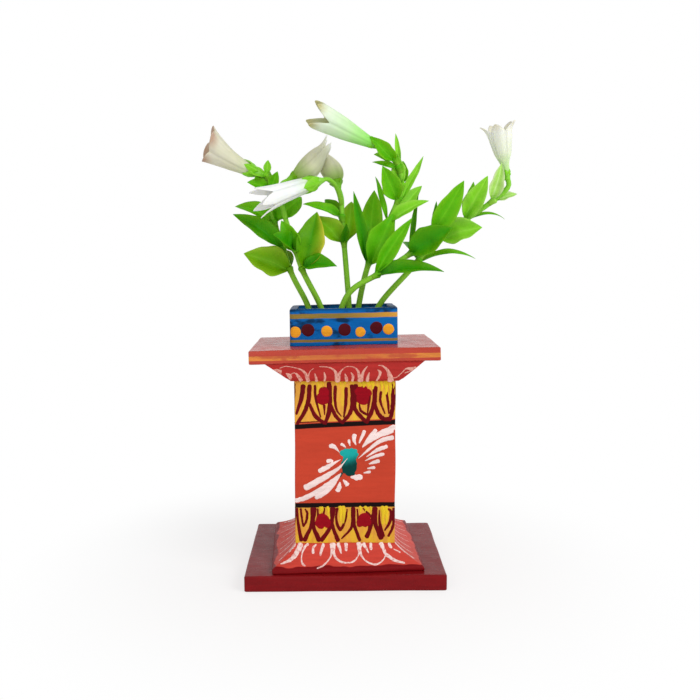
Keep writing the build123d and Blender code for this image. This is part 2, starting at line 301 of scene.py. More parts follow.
def rgb(red, green, blue):
    """A colour as it shows on a screen, from 0 to 255, as the linear light that a shader takes."""
    shares = (part / 255 for part in (red, green, blue))
    return tuple(share / 12.92 if share <= 0.04045 else ((share + 0.055) / 1.055) ** 2.4 for share in shares)


MAROON = rgb(124, 14, 19)
CORAL = rgb(208, 72, 60)
SALMON = rgb(180, 58, 40)
CAPITAL_RED = rgb(186, 50, 46)
TERRACOTTA = rgb(194, 66, 44)
YELLOW = rgb(224, 160, 62)
LEMON = rgb(228, 194, 40)
ORANGE = rgb(214, 130, 50)
OLIVE_GOLD = rgb(130, 110, 34)
BRIGHT_GOLD = rgb(212, 152, 50)
BLACK = rgb(18, 4, 4)
CHERRY = rgb(146, 2, 22)
OXBLOOD = rgb(104, 2, 12)
PINK_WHITE = rgb(240, 218, 214)
ARCH_PINK = rgb(230, 172, 156)
BLUE = rgb(0, 98, 174)
NAVY = rgb(0, 46, 84)
TEAL = rgb(24, 164, 158)
DEEP_TEAL = rgb(0, 58, 54)
DOT_YELLOW = rgb(238, 164, 40)
DOT_MAROON = rgb(76, 6, 18)

ALONG_X = (9, 1.2, 1)        # brush marks that run from side to side
ALONG_Z = (1, 1, 9)          # and up and down


def brushed(shader, colour, marks, depth=0.22):
    """The colour of one coat of paint: streaks from the brush, and patches where it is thin or thick."""
    streaks = shader.noise(1.1, marks, 4.0, 0.6)
    patches = shader.noise(14, (1.6, 1.2, 1), 3.0)
    light = tuple(min(1, part) for part in shaded(colour, 1 + depth))
    coat = shader.mix(shader.spread(streaks, 0.33, 0.67), shaded(colour, 1 - depth), light)
    thick = shader.mix(shader.spread(patches, 0.35, 0.7), colour, shaded(colour, 0.82))
    return shader.mix(0.45, coat, thick)


def finished(shader, colour, marks, roughness=0.42):
    """The material once worn edges with a painted highlight, gloss and brush ridges lie over a paint's colour.
    """
    edges = shader.node("ShaderNodeNewGeometry", {}).outputs["Pointiness"]
    # Lighter along sharp edges: partly paint rubbed thin, partly a painted highlight.
    worn_and_lit_edges = shader.math("MULTIPLY", shader.spread(edges, 0.53, 0.62), shader.noise(1.5))
    lighter = shader.mix(1.0, colour, (1.3, 1.25, 1.2), "MULTIPLY")
    shader.colour(shader.mix(worn_and_lit_edges, colour, lighter))
    ridges = shader.noise(0.7, marks, 3.0, 0.6)
    lumps = shader.noise(3.0, (1, 1, 1), 2.0)
    shader.bump(shader.math("ADD", ridges, shader.math("MULTIPLY", lumps, 2.0)), 0.05)
    shader.vary_roughness(shader.noise(4), roughness - 0.05, roughness + 0.07)
    return shader.material


def painted(name, colour, marks, roughness=0.42, specular=0.08):
    """A hand-painted coat: streaked colour, streaked gloss and low ridges left by the brush."""
    shader = Shader(name, roughness, specular)
    return finished(shader, brushed(shader, colour, marks, 0.16), marks, roughness)


def plinth_paint():
    """Coral, with the base's maroon carried up round its foot."""
    shader = Shader("plinth_paint", 0.42)
    height = shader.ragged_height(0, 1.0, 9.0)
    foot = shader.band(height, -10, PLINTH.low + PLINTH_BAND + 0.6)
    coats = shader.mix(foot, brushed(shader, CORAL, ALONG_X, 0.12), brushed(shader, MAROON, ALONG_X, 0.14))
    return finished(shader, coats, ALONG_X)


# The column's two black lines: from and up to which height, and how much each climbs to the right.
LOWER_LINE = (28.3, 30.1, 0.006)
UPPER_LINE = (59.4, 61.2, 0.046)


def column_paint():
    """Terracotta between two black lines, with ochre yellow above and below them."""
    shader = Shader("column_paint", 0.42)
    coats = brushed(shader, TERRACOTTA, ALONG_X, 0.06)
    ochre = brushed(shader, YELLOW, ALONG_Z, 0.12)
    fresh = shader.spread(shader.noise(2.6, (1, 1, 3), 2.0), 0.5, 0.62, 0, 0.55)
    ochre = shader.mix(fresh, ochre, LEMON)
    for low, high, climb in (LOWER_LINE, UPPER_LINE):
        height = shader.ragged_height(climb, 0.12)
        beyond = (0, low + 0.2) if low < UPPER_LINE[0] else (high + 0.4, 200)
        coats = shader.mix(shader.band(height, *beyond), coats, ochre)
        coats = shader.mix(shader.band(height, low, high), coats, BLACK)
    return finished(shader, coats, ALONG_X)


SLAB_LINE = (1.2, 2.9)       # heights above the slab's foot


def slab_paint():
    """Salmon red, with a ragged orange line round the slab's edge that thins out at its middle."""
    shader = Shader("slab_paint", 0.3, 0.3)
    height = shader.ragged_height(LEAN, 0.16, 3.0)
    coverage = shader.spread(shader.noise(2.2, (4, 4, 1), 3.0), 0.34, 0.5, 0.3, 0.95)
    ends = shader.spread(shader.math("ABSOLUTE", shader.x), 8 * MM, 26 * MM, 0.55, 1.0)
    coverage = shader.math("MULTIPLY", coverage, ends)
    edge = shader.band(height, *(SLAB.low + above for above in SLAB_LINE))
    line = shader.math("MULTIPLY", edge, coverage)
    coats = shader.mix(line, brushed(shader, SALMON, ALONG_X, 0.08), brushed(shader, ORANGE, ALONG_X))
    return finished(shader, coats, ALONG_X, 0.3)


TROUGH_UPPER_LINE = (10.4, 12.2)     # heights above the trough's foot
TROUGH_LOWER_LINE = (1.4, 2.4)


def trough_paint():
    """Blue, dark where the coat is thick and at the rim, with two gold lines round it."""
    shader = Shader("trough_paint", 0.32)
    high_left = shader.math("SUBTRACT", shader.z, shader.math("MULTIPLY", shader.x, 0.2))
    left = shader.spread(high_left, (TROUGH.low + 5) * MM, (TROUGH.low + 12) * MM, -0.08, 0.07)
    clouds = shader.math("ADD", shader.noise(7, (1.5, 1.5, 0.7), 3.0), left)
    coats = shader.mix(shader.spread(clouds, 0.5, 0.62), brushed(shader, BLUE, ALONG_X, 0.15), NAVY)
    height = shader.ragged_height(LEAN, 0.15, 5.0)
    rim = shader.spread(height, (TROUGH.high - 1.4) * MM, (TROUGH.high - 0.2) * MM, 0, 0.75)
    coats = shader.mix(rim, coats, NAVY)
    patchy = shader.spread(shader.noise(2, ALONG_X), 0.3, 0.7, 0, 0.3)
    gold = shader.mix(shader.spread(shader.x, 0, TROUGH.half_x * MM), OLIVE_GOLD, BRIGHT_GOLD)
    for ends, colour in ((TROUGH_UPPER_LINE, gold), (TROUGH_LOWER_LINE, OLIVE_GOLD)):
        line = shader.band(height, *(TROUGH.low + above for above in ends))
        coat = shader.mix(patchy, colour, BRIGHT_GOLD)
        coats = shader.mix(shader.math("MULTIPLY", line, 0.95), coats, coat)
    return finished(shader, coats, ALONG_X)


def thin_paint(name, colour, under):
    """Paint laid on so thinly that the coat under it shows through in streaks."""
    shader = Shader(name, 0.5)
    streaks = shader.spread(shader.noise(0.8, (1, 1, 3), 3.0), 0.45, 0.68, 0, 0.6)
    return finished(shader, shader.mix(streaks, colour, under), ALONG_Z, 0.5)


TEAL_FADE = (43.6, 48.8)     # heights between which the teal turns from deep to bright


def teal_paint():
    """One loaded brush of bright teal that runs out into a deep one."""
    shader = Shader("teal_paint", 0.38)
    height = shader.ragged_height(0.25, 1.1, 1.6)
    fade = shader.spread(height, *(end * MM for end in TEAL_FADE))
    return finished(shader, shader.mix(fade, DEEP_TEAL, TEAL), ALONG_X)


def leafy(name, roughness, subsurface, mottle):
    """Moulded plastic that carries its own tint, with faint mottling and a satin gloss."""
    shader = Shader(name, roughness, subsurface=subsurface)
    tint = shader.node("ShaderNodeVertexColor", {}, layer_name="tint").outputs["Color"]
    blotches = shader.noise(3.5, (1, 1, 1), 3.0)
    deeper = shader.mix(1.0, tint, (1 - mottle, 1 - mottle * 0.6, 1 - mottle), "MULTIPLY")
    shader.colour(shader.mix(shader.spread(blotches, 0.35, 0.7), tint, deeper))
    shader.bump(shader.noise(0.9, (1, 1, 1.5), 2.0), 0.04)
    shader.vary_roughness(shader.noise(5), roughness - 0.06, roughness + 0.12)
    return shader


VEIN_SPACING = 1.9           # along a leaf, in millimetres
VEIN_SLANT = 0.9             # how fast a vein runs forward as it goes out from the midrib


def leaf_material():
    """The same plastic with a leaf's midrib and side veins pressed into it."""
    shader = leafy("leaf_plastic", 0.4, 0.12, 0.14)
    place = shader.node("ShaderNodeUVMap", {}, uv_map="place").outputs["UV"]
    along, across, _ = shader.node("ShaderNodeSeparateXYZ", {"Vector": place}).outputs
    out = shader.math("ABSOLUTE", across)
    slanted = shader.math("SUBTRACT", along, shader.math("MULTIPLY", out, VEIN_SLANT))
    wave = shader.math("SINE", shader.math("MULTIPLY", slanted, 2 * pi / VEIN_SPACING))
    away = shader.math("MULTIPLY", shader.spread(out, 0.1, 0.6), shader.spread(along, 0.5, 2.5))
    veins = shader.math("MULTIPLY", shader.spread(wave, 0.55, 1.0), away)
    midrib = shader.math("MULTIPLY", shader.spread(out, 0.0, 0.5, 1.0, 0.0), shader.spread(along, 0.2, 1.5))
    pressed = shader.math("ADD", shader.math("MULTIPLY", veins, 0.4), midrib)
    base = shader.surface.inputs["Base Color"].links[0].from_socket
    lighter = shader.mix(1.0, base, (1.25, 1.12, 1.3), "MULTIPLY")
    shader.colour(shader.mix(shader.math("MULTIPLY", pressed, 0.4), base, lighter))
    shader.bump(shader.math("MULTIPLY", pressed, -1.0), 0.07)
    return shader.material


def foam_material():
    """Dry green florist's foam: fine open cells."""
    shader = Shader("foam", 0.9, specular=0.2)
    cells = shader.node("ShaderNodeTexVoronoi", {"Vector": shader.place, "Scale": 1 / (0.8 * MM)})
    depth = cells.outputs["Distance"]
    # Darker in the pits of the cells, which the same pattern also presses in: painted shade.
    shader.colour(shader.mix(shader.spread(depth, 0.1, 0.6), rgb(44, 66, 34), rgb(84, 108, 58)))
    shader.bump(depth, 0.3)
    return shader.material


def nail_material():
    """Drawn steel wire, dulled, with fine marks along it."""
    shader = Shader("nail_wire", 0.35)
    shader.surface.inputs["Metallic"].default_value = 1.0
    marks = shader.noise(0.3, (1, 1, 12), 2.0)
    shader.colour(shader.mix(shader.spread(marks, 0.3, 0.7), rgb(120, 118, 114), rgb(176, 174, 170)))
    shader.bump(marks, 0.02)
    return shader.material


# ---------------- the stand's blocks ----------------
# A block is made of levels: (half its width, half its depth, corner radius, height).
CORNER_STEPS = 5
EDGE_STEPS = 4
FACE_STEP = 1.6              # longest side of a mesh face on a block


def rounded_ring(half_x, half_y, radius, height, counts):
    """Points round a rectangle with rounded corners, at one height, with counts of points on its sides."""
    radius = kept(radius, 0.02, min(half_x, half_y) - 0.05)
    flat_x, flat_y = half_x - radius, half_y - radius
    ring = []
    for quarter, (side_x, side_y) in enumerate(((1, 1), (-1, 1), (-1, -1), (1, -1))):
        for step in range(CORNER_STEPS + 1):
            angle = (quarter + step / CORNER_STEPS) * pi / 2
            x = side_x * flat_x + radius * cos(angle)
            ring.append(Vector((x, side_y * flat_y + radius * sin(angle), height)))
        run = Vector((0, -2 * flat_y * side_y, 0)) if quarter % 2 else Vector((-2 * flat_x * side_x, 0, 0))
        count = counts[quarter % 2]
        ring += [ring[-1] + run * (step / count) for step in range(1, count)]
    return ring


def profile_block(levels, shape=hand_made):
    """A closed block through levels, each point of which is then moved by its shape."""
    counts = [ceil(2 * max(level[axis] for level in levels) / FACE_STEP) for axis in (0, 1)]
    return stacked([[shape(point) for point in rounded_ring(*level, counts)] for level in levels])


def cap(half_x, half_y, corner, height, shrink):
    """Levels that close a block's end, from its middle out to this much inside its edge."""
    inside = min(half_x, half_y) - 0.1
    insets = [inset for inset in (shrink + 0.4, shrink + 1.5, 4, 8, 12, 17, 22, 27) if inset < inside]
    return [(half_x - inset, half_y - inset, corner, height) for inset in reversed(insets + [inside])]


def rubbed(half_x, half_y, corner, height, edge, way):
    """Levels of a rubbed edge, from the flat end out to the side, which lies up (1) or down (-1)."""
    turns = [step / EDGE_STEPS * pi / 2 for step in range(EDGE_STEPS + 1)]
    return [(half_x - edge * (1 - sin(turn)), half_y - edge * (1 - sin(turn)), corner,
             height + way * edge * (1 - cos(turn))) for turn in turns]


def board(block, corner, edge, margin_y=0.0):
    """A board or post with rubbed edges."""
    halves = (block.half_x, block.half_y - margin_y)
    foot = rubbed(*halves, corner, block.low, edge, 1)
    head = rubbed(*halves, corner, block.high, edge, -1)
    rise = head[-1][3] - foot[-1][3]
    steps = ceil(rise / FACE_STEP)
    side = [(*halves, corner, foot[-1][3] + rise * step / steps) for step in range(1, steps)]
    closed_head = cap(*halves, corner, block.high, edge) + head
    return profile_block(cap(*halves, corner, block.low, edge) + foot + side + closed_head[::-1])


def plinth_halves(height):
    """Half the plinth's width and depth: an upright band, then a hollow curve in to the column."""
    flare_low = PLINTH.low + PLINTH_BAND
    rise = kept((height - flare_low) / (PLINTH.high - flare_low))
    straight = PLINTH.half_x + (COLUMN.half_x - PLINTH.half_x) * rise
    return (straight - FLARE_SAG * 4 * rise * (1 - rise),) * 2


def capital_halves(height):
    """Half the capital's width and depth at a height."""
    rise = kept((height - CAPITAL.low) / (CAPITAL.high - CAPITAL.low))
    return [CAPITAL_FOOT + (head - CAPITAL_FOOT) * rise for head in (CAPITAL.half_x, CAPITAL.half_y)]


def flared_form(block, halves, foot_levels, foot_rise, steps, shape):
    """A block whose width changes with height in steps, above a foot of so many levels and so high."""
    foot, corner = halves(block.low), FLARED_CORNER
    levels = cap(*foot, corner, block.low, corner)
    levels += rubbed(*foot, corner, block.low, corner, 1)[:foot_levels]
    rise = block.high - block.low - foot_rise
    for step in range(1, steps + 1):
        height = block.low + foot_rise + rise * step / steps
        levels.append((*halves(height), corner, height))
    return profile_block(levels + cap(*halves(block.high), corner, block.high, 0.2)[::-1], shape)


def trough_form():
    """A hollow block: up its outside, over the rubbed rim and down to the floor inside."""
    halves = (TROUGH.half_x, TROUGH.half_y)
    levels = cap(*halves, TROUGH_CORNER, TROUGH.low, TROUGH_FOOT)
    levels += rubbed(*halves, TROUGH_CORNER, TROUGH.low, TROUGH_FOOT, 1)
    low, steps = TROUGH.low + TROUGH_FOOT, 8
    rise = TROUGH.high - TROUGH_RIM - low
    levels += [(*halves, TROUGH_CORNER, low + rise * step / steps) for step in range(1, steps)]
    levels += rubbed(*halves, TROUGH_CORNER, TROUGH.high, TROUGH_RIM, -1)[::-1]
    inner = [half - TROUGH_WALL for half in halves]
    for step in range(EDGE_STEPS + 1):
        angle = (1 - step / EDGE_STEPS) * pi / 2
        out = TROUGH_LIP * (1 - cos(angle))
        height = TROUGH.high - TROUGH_LIP * (1 - sin(angle))
        levels.append((inner[0] + out, inner[1] + out, BOARD_CORNER, height))
    depth, steps = TROUGH.high - TROUGH_LIP - FOAM.low, 6
    levels += [(*inner, BOARD_CORNER, TROUGH.high - TROUGH_LIP - depth * step / steps)
               for step in range(1, steps + 1)]
    return profile_block(levels + cap(*inner, BOARD_CORNER, FOAM.low, 0.2)[::-1])


def foam_form():
    """The foam block, cut by hand, which leans with the trough and stands clear of its walls."""
    halves = (FOAM.half_x - FOAM_ROOM, FOAM.half_y - FOAM_ROOM)
    corner, low = 0.5, FOAM.low + FOAM_LIFT
    levels = cap(*halves, corner, low, 0.3)
    levels += [(*halves, corner, low + 0.3), (*halves, corner, FOAM.high - 0.6)]
    levels += [(halves[0] - 0.3, halves[1] - 0.3, corner, FOAM.high - 0.15)]
    levels += cap(*halves, corner, FOAM.high - 0.1, 0.6)[::-1]
    return profile_block(levels, lambda point: point + lean_at(point))


# ---------------- brush strokes ----------------
PAINT_RISE = 0.1             # thickness of a brush stroke
PAINT_SUNK = 0.35            # a stroke's underside lies this far below the painted face
UPPER_BLOB_RISE = PAINT_RISE * 1.2
LOWER_BLOB_RISE = PAINT_RISE * 1.8
HEART_RISE = PAINT_RISE * 0.8
THIN_RISE = PAINT_RISE * 0.6
UPPER_BOLD = 1.2             # the upper petals' strokes are this much wider than their table says
DOT_UNEVEN = 0.06
BLUNT = 0.6                  # how far a stroke's end runs out, as a share of its half width
THINNEST = 0.12              # a stroke is never narrower than this
STROKE_STEPS = 5
DAB_SIDES = 28

# Across a stroke: how far out, as a share of its half width, and how high, as a share of the paint's rise.
STROKE_SECTION = ((-1, None), (-0.92, 0.35), (-0.5, 0.9), (0, 1), (0.5, 0.9), (0.92, 0.35), (1, None))
# The same out from a dab's edge to its middle, and how far out each ring of a stroke's round end lies.
DAB_SECTION = ((1.0, None), (1.0, 0.1), (0.93, 0.6), (0.75, 0.9), (0.4, 1.0), (0.08, 1.0))
ROUND_END = (0.98, 0.8, 0.45)


def sides_of(halves, corner, shape=hand_made):
    """Where a brush lands on each side of a block, from its front round to the right."""
    def side_of(side):
        def place(across, up, lift):
            """The point across and up this side and a height off it, carried on round its corners."""
            half_x, half_y = halves(up)[::-1] if side % 2 else halves(up)
            flat = half_x - corner
            beyond = max(abs(across) - flat, 0)
            turn = min(beyond / corner, pi / 2)
            reach = corner + lift
            x = across if beyond == 0 else (flat + reach * sin(turn)) * (1 if across > 0 else -1)
            y = -(half_y - corner + reach * cos(turn)) + max(beyond - corner * pi / 2, 0)
            return shape(Matrix.Rotation(side * pi / 2, 3, "Z") @ Vector((x, y, up)))
        return place
    return [side_of(side) for side in range(4)]


def lift_of(height, rise):
    return -PAINT_SUNK if height is None else rise * height


def brush_stroke(place, points, rise=PAINT_RISE):
    """A raised stroke of paint through points of (across, up, width), rounded at both ends."""
    line = smooth_line(points, STROKE_STEPS)
    stations = []
    for index, point in enumerate(line):
        ahead = (line[min(index + 1, len(line) - 1)] - line[max(index - 1, 0)]).to_2d().normalized()
        stations.append((point.to_2d(), ahead, max(point.z, THINNEST) / 2))

    def round_end(station, way):
        middle, ahead, half = station
        return [(middle + ahead * (way * half * out * BLUNT), ahead, half * sqrt(1 - out * out))
                for out in ROUND_END]

    rings = []
    for middle, ahead, half in round_end(stations[0], -1) + stations + round_end(stations[-1], 1)[::-1]:
        left = Vector((-ahead.y, ahead.x))
        edges = [1 + 0.3 * noise.noise(Vector((middle.x * 1.7, middle.y * 1.7, seed))) for seed in (3, 8)]
        spots = [middle + left * (out * half * edges[out > 0]) for out, _ in STROKE_SECTION]
        rings.append([place(*spot, lift_of(height, rise))
                      for spot, (_, height) in zip(spots, STROKE_SECTION)])
    return stacked(rings)


def dab(place, across, up, radius, rise=PAINT_RISE * 1.4, uneven=0.14):
    """A round blob of paint left by the tip of a loaded brush."""
    rings = []
    for share, height in DAB_SECTION:
        ring = []
        for step in range(DAB_SIDES):
            angle = step / DAB_SIDES * 2 * pi
            x, z = cos(angle), sin(angle)
            wave = noise.noise(Vector((x * 1.3 + across, z * 1.3 + up, radius)))
            out = radius * share * (1 + uneven * wave)
            ring.append(place(across + out * x, up + out * z, lift_of(height, rise)))
        rings.append(ring)
    return stacked(rings)


COLUMN_SIDES = sides_of(lambda up: (COLUMN.half_x, COLUMN.half_y), COLUMN_CORNER)
PLINTH_SIDES = sides_of(plinth_halves, FLARED_CORNER, turned_plinth)
CAPITAL_SIDES = sides_of(capital_halves, FLARED_CORNER)
TROUGH_SIDES = sides_of(lambda up: (TROUGH.half_x, TROUGH.half_y), TROUGH_CORNER)


# In these tables a stroke is a list of (across, up, width), and a dab or a blob (across, up, radius).

# The spray painted on the front: each stroke from its loaded end to where the brush lifts, and the dabs
# and the tail of the teal heart, all placed from the spray's middle.
SPRAY_MIDDLE = (1.35, 45.75, 0)      # across, up, and nothing more to a stroke's width
SPRAY = [
    [(17.4, 13.0, 3.0), (12.0, 10.8, 2.6), (7.3, 7.8, 1.6), (5.1, 5.6, 0.2)],
    [(16.6, 9.4, 1.8), (12.0, 8.2, 1.7), (7.3, 4.7, 1.0), (3.6, 1.5, 0.15)],
    [(14.2, 6.0, 1.6), (10.7, 4.7, 1.5), (6.6, 2.1, 0.3)],
    [(13.0, 3.2, 1.3), (9.8, 2.3, 1.3), (6.2, 0.6, 0.3)],
    [(11.2, 0.5, 1.6), (9.4, 0.0, 1.3), (7.7, -0.6, 0.5)],
    [(9.6, -2.0, 1.3), (8.3, -2.2, 1.0), (7.1, -2.4, 0.5)],
    [(7.9, -3.7, 1.3), (6.8, -3.9, 0.9), (5.7, -4.1, 0.4)],
    [(4.6, -5.7, 2.2), (3.0, -5.9, 2.4), (0.9, -5.8, 0.9)],
    [(10.2, 12.2, 1.6), (7.9, 9.5, 1.7), (5.1, 6.0, 0.3)],
    [(5.9, 11.8, 1.5), (4.9, 9.5, 1.2), (3.9, 7.4, 0.6)],
    [(2.1, 10.3, 1.9), (1.9, 8.6, 1.4), (2.6, 6.7, 0.4)],
    [(0.0, 8.4, 1.2), (0.1, 7.5, 0.9), (0.4, 6.4, 0.4)],
    [(-2.8, 7.0, 1.3), (-2.1, 6.5, 1.0), (-1.3, 5.8, 0.4)],
    [(-7.0, 6.3, 1.8), (-5.8, 6.2, 1.9), (-4.6, 5.1, 0.9), (-3.6, 3.9, 0.25)],
    [(-8.0, 0.6, 1.7), (-7.1, 0.7, 1.5), (-6.3, 0.5, 1.3)],
    [(-11.0, -3.2, 1.9), (-8.5, -1.9, 2.0), (-5.6, -0.2, 1.1), (-3.2, 1.1, 0.2)],
    [(-16.2, -9.7, 2.5), (-11.5, -7.1, 2.6), (-7.3, -4.5, 2.1), (-3.8, -2.2, 1.2), (-0.6, 1.5, 0.2)],
    [(-19.9, -14.7, 1.9), (-15.8, -13.4, 2.0), (-10.3, -10.3, 2.1), (-6.4, -7.3, 1.7), (-3.0, -4.3, 0.3)],
    [(-12.2, -13.6, 2.1), (-9.0, -11.6, 2.2), (-6.0, -8.6, 1.7), (-3.0, -4.7, 0.3)],
    [(-4.3, -11.0, 1.9), (-3.6, -9.5, 1.8), (-3.4, -7.8, 0.5)],
    [(-0.6, -8.7, 1.9), (-1.4, -7.8, 1.4), (-2.1, -6.9, 0.5)],
]
HEART_DABS = [(0.1, -1.6, 2.9), (0.3, -3.2, 2.2), (0.3, 0.6, 2.5), (-2.3, 3.6, 1.2), (-1.3, 4.4, 0.9),
              (-0.2, 4.2, 1.1), (1.0, 4.6, 0.9), (2.1, 4.1, 1.1), (2.7, 3.0, 0.9), (-0.4, 2.8, 2.1),
              (1.3, 2.4, 1.9), (-1.9, -0.4, 1.1), (2.2, -0.6, 1.0), (-1.5, -3.4, 1.0), (1.6, -4.4, 0.8)]
HEART_TAIL = [(-2.6, -4.2, 1.0), (-3.2, -5.6, 0.5)]

# The front's two rows of lotus petals: each petal has two arms that meet at a point, and strokes inside.
UPPER_PETALS = [
    [(-13.4, 74.9, 1.5), (-13.9, 69.0, 1.5), (-15.6, 64.4, 1.4), (-18.0, 60.8, 1.2)],
    [(-15.8, 74.9, 1.7), (-16.4, 70.5, 1.5), (-18.3, 64.3, 0.8)],
    [(-13.4, 68.0, 1.0), (-11.1, 63.4, 1.4), (-7.9, 60.9, 1.3)],
    [(-11.4, 74.9, 0.9), (-11.1, 70.2, 0.9), (-9.2, 63.1, 0.5)],
    [(-6.2, 75.8, 1.7), (-5.8, 69.0, 1.6), (-6.2, 64.6, 1.5), (-7.5, 60.7, 1.3)],
    [(-7.9, 67.5, 0.9), (-7.7, 64.0, 0.4)],
    [(-5.5, 68.0, 1.0), (-3.9, 64.0, 1.3), (-1.5, 61.2, 1.1)],
    [(-3.8, 74.6, 1.1), (-3.9, 70.2, 1.1), (-3.3, 66.0, 0.8), (-1.5, 63.4, 0.4)],
    [(0.2, 74.0, 1.2), (0.2, 69.0, 1.2), (-0.5, 63.1, 0.6)],
    [(2.4, 74.9, 1.5), (2.7, 69.0, 1.5), (1.8, 64.6, 1.4), (-1.2, 60.9, 1.2)],
    [(3.9, 75.0, 1.7), (3.5, 70.0, 1.9), (3.4, 67.0, 1.5), (4.7, 64.6, 1.4), (7.8, 61.3, 1.3)],
    [(9.3, 72.0, 1.0), (8.9, 68.0, 0.9), (8.4, 64.0, 0.4)],
    [(5.3, 68.0, 0.5), (5.9, 65.6, 0.9), (8.2, 64.0, 0.9)],
    [(11.3, 74.2, 1.7), (11.0, 69.0, 1.6), (10.1, 65.5, 1.5), (8.1, 61.0, 1.3)],
    [(11.3, 68.0, 1.0), (12.4, 64.6, 1.4), (14.4, 62.4, 1.5), (17.0, 62.2, 1.4)],
    [(13.5, 72.5, 0.9), (13.3, 69.0, 0.9), (15.0, 64.3, 0.5)],
    [(15.6, 72.3, 0.8), (16.2, 68.0, 0.9), (16.5, 64.3, 0.5)],
    [(17.8, 75.2, 1.5), (18.1, 69.0, 1.5), (17.6, 64.6, 1.5), (16.8, 61.8, 1.3)],
    [(-19.0, 61.0, 0.4), (-14.0, 61.2, 0.4), (-9.0, 61.5, 0.3)],
]
UPPER_BLOBS = [(-8.3, 70.2, 2.6), (-7.9, 72.4, 2.2), (6.7, 70.4, 2.8), (5.0, 72.8, 1.9), (6.8, 72.9, 2.0),
               (8.4, 72.2, 1.7)]
LOWER_PETALS = [
    [(-18.3, 27.9, 1.1), (-17.9, 22.2, 1.1), (-16.7, 15.5, 1.7)],
    [(-12.4, 27.8, 1.8), (-13.0, 21.4, 1.4), (-15.5, 15.5, 1.8)],
    [(-16.9, 27.8, 0.9), (-16.5, 24.5, 0.9), (-16.0, 21.1, 0.8)],
    [(-15.2, 27.7, 0.6), (-14.4, 26.0, 1.0), (-14.8, 23.1, 1.0), (-15.9, 20.9, 0.7)],
    [(-11.6, 27.8, 1.7), (-12.3, 21.4, 1.5), (-10.1, 15.4, 2.0)],
    [(-5.2, 27.8, 1.7), (-5.5, 21.4, 1.5), (-9.2, 15.4, 1.9)],
    [(-10.5, 27.7, 0.7), (-10.4, 24.0, 1.0)],
    [(-8.0, 27.8, 0.9), (-8.3, 25.0, 0.8)],
    [(-4.4, 27.8, 1.5), (-5.1, 22.2, 1.4), (-4.3, 18.8, 1.5), (-2.9, 15.2, 1.9)],
    [(2.8, 27.8, 1.6), (2.6, 21.4, 1.3), (1.3, 18.8, 1.1), (-1.5, 15.9, 0.6)],
    [(-3.1, 27.7, 1.0), (-3.6, 24.2, 1.0), (-2.9, 20.8, 1.3), (-1.9, 19.4, 1.7)],
    [(0.6, 27.4, 0.5), (0.2, 24.2, 0.9), (-0.9, 21.1, 1.1), (-1.7, 19.5, 1.2)],
    [(3.1, 27.8, 1.6), (3.4, 21.4, 1.4), (5.6, 15.2, 1.5)],
    [(11.2, 27.8, 1.9), (10.3, 22.8, 1.6), (8.3, 16.6, 1.9)],
    [(4.5, 27.4, 0.7), (5.0, 21.6, 1.0)],
    [(6.8, 27.7, 0.6), (8.5, 26.0, 1.0), (9.8, 24.6, 1.0)],
    [(11.6, 27.8, 1.9), (11.5, 22.2, 1.7), (13.8, 16.2, 2.2)],
    [(18.5, 27.8, 1.0), (18.4, 21.4, 1.1), (16.6, 17.0, 1.1)],
    [(13.0, 27.1, 0.5), (13.2, 22.2, 1.2), (14.5, 17.0, 1.7)],
    [(16.0, 27.7, 0.8), (17.5, 26.6, 1.2), (17.2, 22.8, 1.3), (15.2, 19.3, 0.8)],
]
LOWER_BLOBS = [(-8.7, 23.5, 2.4), (-10.0, 22.2, 1.6), (-7.3, 22.4, 1.8), (-9.4, 21.3, 1.4),
               (-7.0, 21.4, 1.2), (7.2, 23.6, 2.5), (5.9, 22.2, 1.6), (8.5, 22.4, 1.6), (5.4, 21.4, 1.0),
               (7.6, 21.6, 1.2)]

# Bright yellow dabbed on last along the top of both rows, as (across, length, width).
UPPER_DRIPS = [(-10.6, 2.6, 0.7), (-8.6, 2.2, 0.5), (-3.6, 1.2, 0.9), (-2.0, 1.8, 0.8), (-0.4, 1.0, 1.0),
               (5.4, 1.4, 1.4), (6.8, 2.0, 1.8), (8.6, 1.8, 2.0), (10.2, 2.8, 1.6), (13.6, 3.4, 1.3),
               (15.2, 4.8, 1.8), (16.8, 5.0, 1.5), (18.0, 2.6, 0.9)]
LOWER_DRIPS = [(-9.6, 2.6, 1.0), (-8.9, 2.0, 1.0), (-6.8, 2.8, 1.2), (-2.1, 5.6, 1.5), (-0.9, 6.4, 1.5),
               (5.6, 2.2, 1.3), (7.6, 1.8, 1.4), (9.6, 2.2, 0.9), (14.2, 6.6, 1.7), (15.6, 6.8, 1.7)]
UPPER_DRIP_TOP = 76.5
LOWER_DRIP_TOP = 28.5

